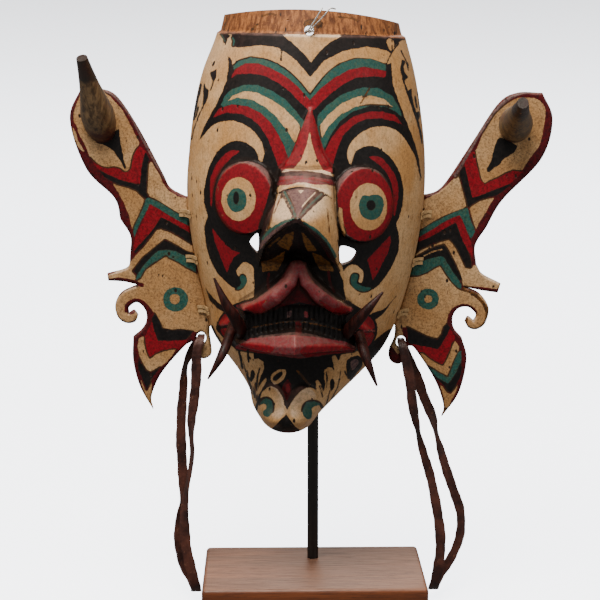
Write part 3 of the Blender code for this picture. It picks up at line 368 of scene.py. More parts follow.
# Painted areas of the face, in the photograph's picture plane. A later area covers
# an earlier one. "area" is a smooth closed outline, "edge" a closed outline with corners,
# "line" a stroke with its width first, and "round" an ellipse: centre, then half sizes
FACE_PAINT = [
    # Brow: upper black stripe and the black ground of the stripes
    ("black", "edge", [(231, 33.8), (253, 33.2), (282, 34), (290, 41), (297, 47), (304, 54), (311, 62.5),
        (320, 51), (330, 42), (343, 35), (370, 35.5), (390, 37), (398, 38.2), (404, 39.8), (400, 41.5),
        (395.5, 45), (392.5, 50), (390.5, 53.5), (387, 50.5), (367, 46.5), (343, 51), (324, 61), (310, 77),
        (296, 60), (279, 48), (261, 45), (240, 47.5), (232.5, 47.2), (233, 41)]),
    ("black", "edge", [(226.8, 54.5), (228.6, 62), (228.3, 70), (226.5, 80), (223, 90), (217.5, 102),
        (211, 114), (204, 127), (195, 150), (215, 160), (262, 172), (282, 171), (296, 142), (309, 109),
        (310, 94), (301, 83), (286, 68), (268, 59), (249, 57), (236, 61), (232.5, 67), (231.8, 61),
        (229.5, 57)]),
    ("black", "edge", [(391.5, 62.5), (392, 72), (392.6, 82), (395, 91), (399, 102), (403.5, 114),
        (409, 128), (415, 143), (419, 160), (421.5, 178), (410, 165), (375, 160), (345, 175), (333, 172),
        (322, 142), (311.5, 109), (310, 94), (322, 78), (338, 65), (355, 59), (371, 60), (385, 65)]),
    ("green", "edge", [(233, 66), (240, 60.5), (250.7, 57.5), (264, 59.5), (277, 64.3), (290, 73),
        (300.6, 83.6), (310, 95.5), (321, 81), (330, 71), (341.7, 63), (356.4, 58.7), (371, 58.9),
        (386, 64.5), (386, 74), (370, 75), (352, 75), (336, 84), (321, 96), (310.5, 108), (298, 94),
        (285, 82), (270, 73), (252, 69), (234, 74)]),
    ("red", "edge", [(231, 78.5), (234.6, 69.5), (244.9, 63.3), (258, 63.3), (272.7, 69), (286, 76.3),
        (297.7, 86.5), (310, 100), (321, 88), (334.4, 77.7), (349, 69.7), (363.7, 66.7), (377, 69),
        (386.4, 71), (385.7, 77.3), (371, 76.3), (356.4, 77.7), (341.7, 85), (327, 96.8), (315.3, 108.6),
        (310, 112), (297.7, 99.8), (290.4, 92.4), (277, 82), (264, 75.5), (249.3, 73.3), (238, 74)]),
    ("green", "edge", [(221, 105), (224, 97), (231, 89.5), (243.4, 85), (258, 85), (272.7, 91), (286, 99.8),
        (296.2, 111.5), (304.3, 121.8), (297, 146), (289, 160), (284.5, 146.7), (278.6, 135),
        (271.3, 123.2), (261, 113), (247.8, 106.4), (231.7, 104), (223, 107)]),
    ("cream", "edge", [(228, 100.8), (233, 95.4), (244.9, 91), (256.6, 92.4), (271.3, 99.8), (284.5, 108.6),
        (296.2, 120.3), (301.5, 129), (296.2, 145.2), (286, 129), (277, 117.4), (265.4, 107), (252.2, 99.8),
        (237.5, 97.6)]),
    ("red", "edge", [(213.3, 117.4), (218.5, 108.6), (231.7, 104.5), (247.8, 106.4), (261, 113),
        (271.3, 123.2), (278.6, 135), (284.5, 146.7), (289, 160), (280, 172), (277, 162.8), (272.7, 151),
        (268.3, 139.4), (261, 127.6), (252.2, 118.8), (240.5, 113.7), (225.8, 112.8)]),
    ("green", "edge", [(317, 116), (327, 105.5), (343, 94), (362, 87.3), (378, 88), (392, 96),
        (399.5, 107.5), (402, 117), (395, 111), (385, 107), (370, 106), (354, 111), (340, 121), (330, 136),
        (323, 152), (318, 134)]),
    ("cream", "edge", [(318.5, 127), (328, 115), (342, 103.5), (358, 96.5), (372, 95.5), (384, 99),
        (395, 109), (385, 106), (371, 105.3), (356, 106.5), (341, 114), (329, 126), (321, 139)]),
    ("red", "edge", [(323, 155), (331, 139), (340, 127), (353, 117), (367, 112), (382, 111.5), (395, 115),
        (404, 126), (394, 121), (381, 118.5), (366, 119), (353, 125), (343, 136), (337, 150), (333, 164),
        (331, 172)]),
    # Crescents over the eyes
    ("cream", "area", [(194, 150), (203.8, 135), (214, 124.7), (225.8, 121), (237.5, 121.8), (249.3, 127.6),
        (258, 136.4), (263.2, 146.7), (263.8, 156), (260.5, 164.5), (258, 162.5), (258, 155.5),
        (253.7, 148), (246.3, 143), (237.5, 140.8), (227.3, 143.8), (218.5, 151), (211.9, 161.4),
        (208.2, 173), (205, 190), (186, 190)]),
    ("cream", "area", [(350.3, 164.5), (346.8, 154), (350.5, 143.8), (357.8, 135), (368, 129), (377, 126.6),
        (390, 127.6), (401.8, 135), (410.6, 148), (416.5, 161.4), (420, 190), (404, 192), (400.4, 176),
        (396.7, 165.8), (390, 157), (381.3, 149.6), (372.5, 146), (363.7, 146.7), (356.4, 151),
        (352.7, 158.4)]),
    # Black ground round the eyes
    ("black", "area", [(262, 163), (255, 154), (250, 148), (242, 142.6), (234, 141), (226, 144), (218, 151),
        (213, 159), (208.5, 169), (206, 179), (204, 191), (204, 199), (205, 207), (207, 213.5), (207, 219),
        (204, 227), (205, 238), (207, 249), (210.5, 260), (217, 272), (224, 280), (231, 286), (238, 289.5),
        (246, 284), (259, 268), (262, 240), (272, 200), (282, 174), (272, 166)]),
    ("black", "area", [(350.6, 164.7), (355.3, 152.5), (367.8, 146.7), (378.8, 149), (389.7, 157),
        (399, 171), (403, 185), (403, 200.6), (399.8, 216), (396.3, 224), (399, 235), (398.3, 250.6),
        (392.8, 264.7), (385, 277), (377.2, 286.6), (371, 290), (358, 290), (344, 272), (338, 245),
        (334, 200), (332, 174), (340, 166)]),
    # Side scrolls
    ("black", "edge", [(221.3, 34.5), (224.3, 38.5), (225.2, 45), (226.6, 42), (227.6, 38.5), (231.5, 35.2),
        (226, 34)]),
    ("green", "line", [0.9, (221.5, 35), (223.8, 38.5), (224.6, 41)]),
    ("green", "line", [1.2, (232.8, 38), (234, 41), (233.2, 45)]),
    ("black", "area", [(215.3, 60.8), (213.2, 62), (211.8, 65.5), (212.6, 66.5), (215, 64)]),
    ("black", "edge", [(209.8, 72.2), (213, 71), (216.3, 69.3), (216.3, 76.5), (214.2, 81), (213, 86),
        (210, 92), (209.2, 91), (211.8, 85), (212.6, 80.5), (211.2, 78.5)]),
    ("black", "edge", [(204, 82.5), (206, 87.5), (208.8, 90.5), (208.6, 95), (206.5, 101), (203.8, 106.5),
        (201, 112.5), (197.5, 120), (194.5, 129), (192, 140), (190.8, 140), (193.6, 128), (197, 118),
        (200.2, 111), (202.6, 105), (203, 98), (203.4, 90)]),
    ("black", "line", [2.2, (200.8, 85), (198, 97), (195.6, 108), (193.6, 119)]),
    ("black", "line", [1.2, (198.2, 107), (197, 112), (195.6, 117)]),
    ("black", "line", [1.0, (400.8, 50), (403, 55), (405.6, 60), (408.4, 65)]),
    ("black", "area", [(401.8, 60), (405.6, 61.5), (404.2, 65.5), (404, 71), (406.6, 75), (408.2, 77.3),
        (405.6, 79.8), (403, 79.8), (401.4, 75), (400.2, 70), (401, 65)]),
    ("black", "line", [1.1, (406, 62.5), (407.6, 66.5), (408, 70)]),
    ("black", "line", [1.5, (403, 79), (405.8, 87), (408.4, 95), (411, 103)]),
    ("black", "edge", [(408, 90.5), (411.8, 88), (412, 95), (413, 100), (414.6, 107.5), (416.2, 112),
        (419.4, 111.5), (420.2, 116), (418.4, 119.8), (420.2, 126), (422, 134), (423, 144), (421.6, 144),
        (420, 135), (417.6, 126), (415.8, 119), (413, 111.5), (410, 103.5), (407.6, 96.5)]),
    ("black", "line", [1.3, (415.2, 96.5), (416, 102.5), (416.8, 107.5)]),
    ("black", "line", [1.2, (417.8, 92), (419, 100), (420.2, 110)]),
    ("cream", "area", [(386.6, 40.5), (389, 38.4), (391.6, 38.6), (394.2, 43), (394, 47), (392.4, 51.4),
        (390, 50), (387.4, 45)]),
    ("black", "line", [0.9, (392, 45.5), (392.2, 50)]),
    ("black", "line", [0.8, (398.5, 43.5), (391.5, 53), (386.8, 63.5)]),
    # Flames and triangles beside the eyes
    ("red", "area", [(240, 151), (231, 150.5), (224, 155), (217, 163.5), (212, 174), (210, 184), (210, 195),
        (211.3, 207), (213, 195), (215.6, 181), (220, 172), (226, 163.5), (233, 156.5)]),
    ("red", "area", [(369.4, 156.9), (378.8, 156.5), (388, 164.7), (395.2, 175.6), (398.3, 188),
        (397.5, 202.2), (394.2, 216), (393, 202), (392.6, 189.7), (389, 177.2), (383, 168.5),
        (376.4, 162.8)]),
    ("red", "edge", [(212, 228), (219, 237), (226, 245), (232, 250), (240, 253), (234, 257), (230, 264.5),
        (227, 273), (223, 263.5), (219, 253), (215, 242), (213, 234)]),
    ("red", "edge", [(390.5, 235), (367, 260), (370, 267.8), (372.5, 281), (380.3, 267.8), (388, 252.2),
        (390.8, 242.8)]),
    # Spirals on the cheeks
    ("cream", "area", [(236.6, 272), (239, 266.2), (244.4, 261.9), (250.6, 264.7), (255.3, 271),
        (258.8, 278.8), (258.4, 288), (254.6, 298), (250, 303), (241, 307), (230, 300), (238, 290.5),
        (243, 286.5), (245.5, 281), (244.5, 276), (241.5, 274), (239.5, 277)]),
    ("green", "area", [(240, 278), (242, 275), (245.5, 277), (246.5, 282), (243, 288), (236, 289.5),
        (241, 283.5)]),
    ("cream", "area", [(341, 292), (340.5, 280), (343, 272), (348, 266.5), (354, 264.7), (361.6, 269.4),
        (363.3, 276), (361.4, 282.6), (357.7, 281), (359.2, 275.5), (355.3, 273), (351.2, 277),
        (351.2, 284), (356, 290.5), (366, 293), (376, 290), (372, 300), (350, 306), (342, 300)]),
    ("green", "area", [(351.4, 276), (354.5, 273.8), (358.3, 275.5), (357, 282.7), (361.6, 285.8),
        (371, 287.8), (365, 291.5), (355.3, 289.3), (351.2, 284)]),
    # Slashes on the cheeks and dark edges of the jaw
    ("black", "area", [(205.5, 288), (210, 300.4), (218, 308.5), (226, 313), (226.5, 308.5), (216.8, 301.5),
        (210, 294)]),
    ("black", "area", [(396.5, 295.5), (387, 306.5), (382.8, 309.5), (372, 313.5), (370.8, 317),
        (375.5, 319.5), (382.8, 314), (388, 307)]),
    ("black", "line", [3.0, (212, 327), (216, 336), (224, 349), (229, 356)]),
    ("black", "area", [(392, 329), (382, 334), (371, 344), (362, 351), (352, 353), (352, 360), (366, 364),
        (384, 347)]),
    # Eyes
    # Mauve rings on the discs' side walls: worn paint, and painted highlight where the walls catch the light
    ("mauve", "round", [(247.5, 196.3), (29, 35)]),
    ("mauve", "round", [(359.8, 203), (28.5, 36)]),
    ("red", "round", [(243.4, 198.4), (28.3, 35.4)]),
    ("red", "round", [(364.6, 205), (28.7, 36.3)]),
    ("cream", "round", [(238.7, 199), (17.2, 21.7)]),
    ("cream", "round", [(368.6, 206.8), (18.6, 23.7)]),
    ("cream", "area", [(338, 208), (342, 209.6), (343.4, 222), (347, 233), (343.4, 236), (338.8, 226),
        (336.6, 214)]),
    ("green", "round", [(237, 200), (9.8, 12.2)]),
    ("green", "area", [(360, 200), (359, 208), (362, 216), (370, 220), (378, 218), (382, 211), (384, 203),
        (381, 196), (375, 194.5), (369, 196), (364, 195)]),
    ("black", "round", [(236, 197.8), (3, 6.4)]),
    ("black", "round", [(371, 205.2), (4.6, 5.2)]),
    # Triangle above the snout
    ("red", "edge", [(310.5, 106), (304, 122), (297, 140), (290, 156), (280, 171.5), (309, 169.8),
        (334, 172.8), (326, 155), (320, 138), (315, 120)]),
    ("cream", "edge", [(309.5, 131), (306.5, 146), (301.5, 159), (293, 169.5), (323, 170.5), (316.5, 158),
        (312.5, 145)]),
    # Bands across the snout
    ("black", "edge", [(266, 163), (281, 169), (282, 174), (279, 190), (274, 206), (269, 222), (264, 236),
        (258, 228), (266, 204), (271, 184)]),
    ("cream", "edge", [(281, 170.5), (290, 168), (310, 168.4), (322, 169.6), (334, 174), (337, 190),
        (339, 240), (300, 225), (261, 250), (263, 239), (268.4, 224), (273.4, 206), (277.4, 188),
        (280, 176)]),
    ("black", "edge", [(280.5, 172.4), (290, 170.8), (305, 170.7), (318, 172.2), (328, 174.8),
        (335.5, 177.4), (335, 181), (325, 178.6), (314, 177), (303, 176), (292, 176), (279.5, 177)]),
    ("rose", "edge", [(279.2, 176.6), (292, 175.8), (303, 175.8), (314, 176.8), (325, 178.6), (335.5, 181),
        (335.5, 186), (325, 184.8), (314, 184.6), (306, 182.6), (298, 182.6), (290, 184.6),
        (276.5, 185.6)]),
    ("red", "line", [1.6, (279, 181.5), (291, 179.4), (306, 178.4), (320, 180.4), (334, 183.5)]),
    # The mauve V and the cream triangle at its top lie on the snout's upward-facing top: paint, and painted
    # sheen of the light from above
    ("mauve", "edge", [(286, 190.8), (295, 188.4), (300, 188), (309, 188.8), (315, 190.2), (318, 191.6),
        (311, 198.5), (305, 205.5), (300, 212.5), (297, 218), (294.6, 215), (293.4, 208), (291.4, 201),
        (288.6, 195.8)]),
    ("cream", "edge", [(297, 189.2), (300.6, 194), (304.4, 189.4)]),
    ("black", "line", [1.0, (275.4, 195), (283, 191.2), (291, 188.7), (300, 187.8), (309, 188.4),
        (317, 190.2), (325, 194), (331.5, 199)]),
    ("black", "line", [1.4, (281, 193.5), (285, 200), (289, 208), (293.4, 216.5)]),
    ("green", "line", [2.2, (284.2, 192), (288.6, 199.5), (292.6, 207.5), (295.2, 216)]),
    # A cream stroke on the green stripe: a painted highlight
    ("cream", "line", [1.2, (286.8, 192.2), (290.4, 199.5), (294, 207), (295.4, 212)]),
    ("cream", "line", [2.2, (316.8, 192.4), (310, 198.6), (303.2, 206.4)]),
    ("black", "line", [1.2, (319.2, 193), (312, 199.8), (304, 209), (300.4, 213.5)]),
    ("green", "line", [1.8, (321.8, 194), (314, 201), (306, 209), (300.4, 216)]),
    ("black", "line", [1.6, (325, 195), (315, 203.8), (306, 212.6), (298.8, 220)]),
    ("brown", "line", [0.8, (280.6, 197), (277, 206), (273.4, 215)]),
    ("brown", "line", [0.9, (272.4, 216), (270.4, 222), (268.6, 229)]),
    ("brown", "line", [0.8, (327.4, 206), (328.4, 220), (329.4, 234)]),
    # Rim of the snout
    ("green", "line", [2.6, (262.5, 239), (268, 232.5), (275, 227), (284, 222.3), (292.5, 219.3)]),
    ("mauve", "line", [3.6, (259.5, 248.5), (265, 240.5), (272, 234), (280, 228), (288, 223.8),
        (297, 221.6), (303, 224.6), (310, 229.8), (317, 236.5), (323, 244), (328, 251.5), (332, 259),
        (337, 270)]),
    ("green", "line", [2.6, (304.4, 223.6), (312, 227.8), (319, 233.2), (325.4, 240), (330.6, 247.4),
        (335.6, 257)]),
    ("maroon", "line", [1.6, (312, 233.4), (319, 241), (325, 249.4), (330, 258)]),
    ("black", "line", [1.0, (258.5, 253), (265.5, 243.5), (273, 236.5), (281, 230.5), (289, 226),
        (296.5, 223.4), (302.6, 226.6), (309, 232), (316, 239), (322, 247), (327, 256)]),
    # Under the snout
    ("black", "edge", [(256, 256), (266, 244.5), (274, 237), (285, 229), (294, 224.5), (297.5, 223.6),
        (304, 228), (313, 236), (321, 245), (328, 257), (337, 267), (343, 280), (346, 300), (300, 300),
        (254, 300), (254, 268)]),
    ("ochre", "edge", [(276.5, 243.5), (286, 234.5), (294, 231.4), (292.4, 243), (288.4, 250.6),
        (282, 247.6)]),
    ("ochre", "edge", [(301.4, 231.4), (306, 235.6), (313, 244.6), (317, 250.6), (308, 251.4), (304, 244)]),
    ("ochre", "edge", [(261, 262), (270, 260), (279, 255), (284.6, 251.6), (283.6, 260), (277, 271),
        (262.4, 271.6)]),
    ("ochre", "edge", [(312, 252.6), (320, 255.4), (330, 262.4), (334, 271.6), (320, 270), (315.6, 262)]),
    ("ochre", "line", [1.6, (268.6, 247), (274, 242), (279.4, 238)]),
    ("black", "area", [(259, 249.5), (272, 249), (285, 250.5), (276, 255.5), (262, 258)]),
    ("maroon", "line", [2.2, (268.8, 273), (267.8, 283), (269.4, 291)]),
    ("maroon", "line", [2.2, (328.6, 272), (330, 282), (334, 292)]),
    # Mouth: red corners, black teeth, the recess between the lips painted dark red as painted shade, and the
    # lips
    ("black", "area", [(216, 327), (221, 315), (228, 309.5), (236, 303.5), (250, 300), (260, 297),
        (262, 338), (246, 342), (238, 349), (228, 342.5), (220, 334)]),
    ("black", "area", [(377.5, 330), (375, 319.5), (367.5, 312.5), (356, 305.5), (344, 302), (340, 338),
        (349, 342.5), (356, 352), (367, 350), (374.5, 341)]),
    ("red", "area", [(218.8, 324.6), (222, 317), (228.5, 311.6), (236, 309), (241, 318), (240, 322.6),
        (232, 324), (225, 324.8)]),
    ("red", "area", [(220.5, 329.5), (227, 328.4), (233, 329), (233, 339), (230, 342.5), (225, 337.5)]),
    ("rose", "line", [1.3, (220.6, 325.2), (226, 324.4), (234, 324.2)]),
    ("red", "area", [(374.6, 328.4), (372.8, 320.6), (367, 315.2), (361, 313), (356, 319), (357, 327),
        (362, 329.6), (368, 329.8)]),
    ("red", "area", [(374.2, 333.4), (367, 332.6), (361.4, 334), (362, 345), (366.5, 347.6), (372.2, 341)]),
    ("rose", "line", [1.3, (374.4, 331), (367, 330.6), (362, 331.6)]),
    ("black", "edge", [(241, 310), (262, 306), (280, 296), (292, 280), (306, 280), (318, 297), (334, 307),
        (353, 310), (356, 340), (348, 343), (295, 338), (250, 340), (240, 346), (236, 340)]),
    # The recess between the lip rolls: red painted darker, as painted shade
    ("maroon", "edge", [(290, 262), (306, 262), (308, 286), (317, 298), (326, 309), (314, 305.5),
        (299, 302), (285, 305.5), (273, 311), (283, 299), (289, 290)]),
    ("maroon", "edge", [(295.4, 320.4), (301.4, 320.4), (301.8, 335.6), (295.2, 335.2)]),
    ("rose", "edge", [(304.2, 311), (308.2, 311.6), (308, 318), (304.2, 317.6)]),
    ("brown", "edge", [(311.2, 318.4), (314.4, 318.8), (314.4, 320.4), (311.2, 320)]),
    ("mauve", "edge", [(287, 311.8), (291.4, 310.6), (291, 317.2), (286.8, 318)]),
    # Upper lip: rose, with red on its lower parts, for worn paint and painted sheen on its upper surfaces
    ("rose", "area", [(236, 306), (243.6, 302.4), (251, 300.6), (258, 298), (267.7, 291.6), (277, 283.4),
        (283, 275), (287.4, 267), (291.5, 262), (298, 260), (304, 263), (308.6, 274), (315.4, 284),
        (324.6, 291.6), (334.8, 298.6), (345.2, 304), (353.6, 308.4), (349.6, 312.6), (343, 315),
        (335, 314.2), (326, 309.4), (317.4, 303.4), (310.4, 296.4), (305.4, 288.6), (299, 285),
        (292.6, 288), (289, 293.4), (281, 302), (271.6, 309.2), (264, 313), (256, 314.6), (249.6, 311.8),
        (242, 309.8)]),
    ("red", "area", [(241, 306.6), (250, 303.4), (261, 300.8), (268, 299.6), (262, 305.6), (266, 309.4),
        (258, 313.8), (250, 311)]),
    ("red", "area", [(318, 299.6), (326, 303.4), (334, 308), (343, 305.4), (352, 308.4), (343, 314.4),
        (334, 313.6), (325, 307.6)]),
    ("black", "line", [1.5, (238, 304), (244, 301), (251, 299), (258, 296), (264, 292)]),
    ("black", "line", [1.5, (353, 307), (345, 302.6), (336, 298), (328, 293)]),
    ("brown", "line", [0.6, (252, 327.5), (273, 323.8), (294, 321.3), (315, 324.2), (341, 330)]),
    # Lower lip: rose, with red on its lower parts, for worn paint and painted sheen on its upper surfaces
    ("rose", "edge", [(236, 345.5), (250, 338.5), (270, 336.5), (295, 335), (320, 337.5), (345, 341.5),
        (356, 347.5), (353, 352.3), (323, 355.5), (300, 358.5), (289, 357.2), (265, 354), (238, 349)]),
    ("red", "area", [(236, 346), (246, 342.6), (262, 343), (274, 348), (268, 353.6), (250, 351.4),
        (238, 349)]),
    ("red", "area", [(300, 351), (310, 344.6), (334, 343.4), (352, 347.6), (352, 352), (323, 355),
        (306, 357)]),
    # Chin
    ("black", "edge", [(236, 349.5), (252, 352), (265, 354), (289, 357.2), (300, 358.5), (323, 355.5),
        (345, 352.5), (352, 357), (340, 372), (334, 400), (322, 420), (317, 428), (305, 434), (279, 434),
        (268, 432), (257, 426), (252, 414), (253, 400), (246, 380), (238, 362)]),
    ("cream", "edge", [(226, 348), (237, 351), (247.6, 351.6), (248.4, 357), (250, 351.6), (253, 352),
        (254, 359.4), (258, 358.6), (263, 361), (264.2, 368.6), (261, 375.5), (258.6, 383), (257.6, 390),
        (262, 382), (266.6, 376.4), (266, 381.6), (262, 389.4), (258, 396), (256.4, 404), (254, 412),
        (246, 402), (230, 372)]),
    ("black", "line", [1.8, (238.5, 350), (240.8, 358), (242.4, 368)]),
    ("black", "line", [1.6, (247.8, 350), (248.2, 356), (248.6, 362)]),
    ("black", "area", [(252.6, 370), (254.6, 373.4), (254.2, 378), (251.2, 382), (250, 377), (250.8, 372)]),
    ("black", "line", [1.3, (259.8, 368.4), (257.8, 376), (256.6, 388)]),
    ("black", "line", [0.8, (247, 371), (250, 383), (254.6, 396)]),
    ("black", "line", [0.7, (243.4, 362), (247.4, 378), (252.4, 394)]),
    ("brown", "line", [0.6, (254.6, 384), (255.6, 393), (256, 399)]),
    ("cream", "edge", [(346, 352), (358, 351), (370, 356), (366, 376), (340, 402), (330, 412), (322, 413),
        (319.4, 404), (318, 396), (316, 386), (315.6, 381), (318, 380), (321.4, 385), (323.4, 392),
        (325.4, 385), (324.4, 378), (324.4, 370), (328.4, 367.2), (332, 368), (334.4, 371), (333.4, 363),
        (331.8, 356.8), (335.2, 354.6), (338.6, 361), (341.4, 354)]),
    ("black", "area", [(346.6, 361), (350.4, 357.6), (356.4, 355.4), (362, 358), (362, 366), (356, 374),
        (351.4, 380), (348.2, 377), (346.4, 369)]),
    ("mauve", "area", [(350.4, 362), (355, 359), (358.6, 361.4), (356, 367.6), (352, 370)]),
    ("black", "line", [1.0, (344.6, 371), (347.6, 377), (350.6, 381)]),
    ("black", "area", [(332.2, 378.6), (334.6, 382), (334, 388), (331.4, 390.4), (330, 385),
        (330.6, 380.4)]),
    ("black", "line", [0.9, (340.6, 371), (338, 386), (331, 400)]),
    ("black", "line", [0.8, (329.8, 391), (328, 398), (326, 406)]),
    ("black", "line", [1.0, (319.4, 386), (321, 391), (322.4, 397)]),
    ("black", "line", [0.8, (326.4, 372), (327, 380), (326.6, 388)]),
    ("cream", "area", [(269, 386.8), (274.4, 387.2), (279.4, 391.4), (283, 398), (284.6, 405), (287, 411),
        (285.4, 414.6), (281, 419.4), (274, 426.6), (269, 429.6), (263, 427.6), (258.6, 421), (257.4, 412),
        (259, 402.4), (262.4, 392)]),
    ("cream", "area", [(306, 388), (312, 388), (317.4, 391.6), (320.4, 398), (324.6, 406), (324, 412),
        (318.6, 420), (310.5, 428.6), (303.5, 431), (296, 427), (290.6, 420.4), (286.4, 412.6),
        (291.8, 402.4), (298, 393.4)]),
    ("black", "line", [1.6, (259.4, 399), (256.6, 405), (255.8, 412), (257.6, 421)]),
    ("green", "area", [(258.8, 403), (262.6, 398.6), (268, 398), (271.8, 401), (273.2, 406), (272.6, 411.4),
        (270, 415.8), (266.4, 416.8), (263.2, 414.6), (263, 411), (265.6, 408.8), (266.2, 405.8),
        (264, 403.6), (261, 404.8)]),
    ("black", "line", [0.8, (259, 403.4), (262.8, 398.8), (268, 398), (272, 401), (273.4, 406),
        (272.8, 411)]),
    ("green", "area", [(322.4, 407.4), (319, 402.6), (314, 401), (308, 401.8), (304, 405), (302.4, 410),
        (303.4, 415.6), (307, 419.2), (311, 418), (312.6, 413), (312, 408.6), (315, 406.4), (319, 405.4)]),
    ("black", "line", [0.8, (323.4, 409), (320, 403), (314, 401), (308, 401.6), (304, 404.8),
        (302.2, 410)]),
    ("maroon", "area", [(285, 382.4), (288, 379.6), (291.4, 386), (290.8, 393), (288.4, 398.4), (286, 400),
        (283.8, 394), (282, 388)]),
    ("red", "area", [(286, 385.6), (288.6, 384), (290, 388), (288.8, 392.4), (286.2, 391.6)]),
    ("cream", "area", [(270.4, 378), (273, 373), (279, 369.6), (284.6, 369.6), (286, 373), (284, 378.4),
        (280, 382.4), (274.4, 384.6), (272, 382)]),
    ("black", "area", [(272.6, 379), (275.6, 374.4), (280.6, 371.8), (282.8, 373.4), (280, 378),
        (275.4, 381)]),
    ("brown", "line", [1.4, (297.4, 371), (302, 377), (308, 383.6)]),
    ("cream", "line", [1.1, (299.6, 372.6), (304, 377.6), (309.4, 384.6)]),
    ("maroon", "edge", [(262, 431.4), (276, 431.6), (304, 431.4), (310, 429.6), (306, 440), (262, 440)]),
    # Bare band at the top
    ("wood", "edge", [(200, -8), (214, 33), (222, 33.2), (252, 32.6), (276, 33.3), (305, 34.6), (348, 34.4),
        (375, 35.6), (403, 38.6), (420, 39), (420, -8)]),
    ("brown", "line", [1.0, (251.4, 30), (254.6, 27), (258, 24)]),
    ("brown", "line", [0.9, (369.6, 88), (365, 96), (360.4, 103.6)]),
    ("brown", "area", [(303, 24), (308, 19.6), (317, 18.4), (323, 22), (321, 28.6), (313, 27.4),
        (306, 29)]),
    ("brown", "line", [1.4, (262, 16), (270, 14), (276, 15)]),
    ("brown", "line", [1.2, (338, 17), (350, 18), (358, 21)]),
    ("brown", "line", [1.2, (224, 30), (226, 22), (227, 16)]),
    ("brown", "line", [1.2, (396, 34), (396.6, 29), (396, 25)]),
]
# Small slots in the bare band, drawn as black paint for the shade inside them: place, width and height
BAND_SLOTS = [
    (228, 31.2, 1.6, 4.0), (238, 20, 1.0, 2.2), (259, 31.5, 1.8, 3.2), (276, 31.6, 1.2, 2.4),
    (280.5, 14.5, 1.3, 4.6), (285.5, 29.5, 1.6, 5.5), (300, 29, 1.0, 2.0), (330, 20, 0.9, 2.6),
    (353, 31.5, 1.6, 2.6), (361.5, 27, 1.3, 6.0), (366, 33, 1.8, 3.6), (376, 33.6, 1.4, 2.6),
    (384, 30.5, 1.2, 3.6), (394.5, 33.5, 1.9, 4.6), (389, 27, 1.2, 2.2),
]
# Crack in the brow below the band, drawn as a black line for the shade inside it
FACE_CRACK = [(281, 46), (281.4, 52), (281, 60)]
FACE_CRACK_WIDTH = 1.3

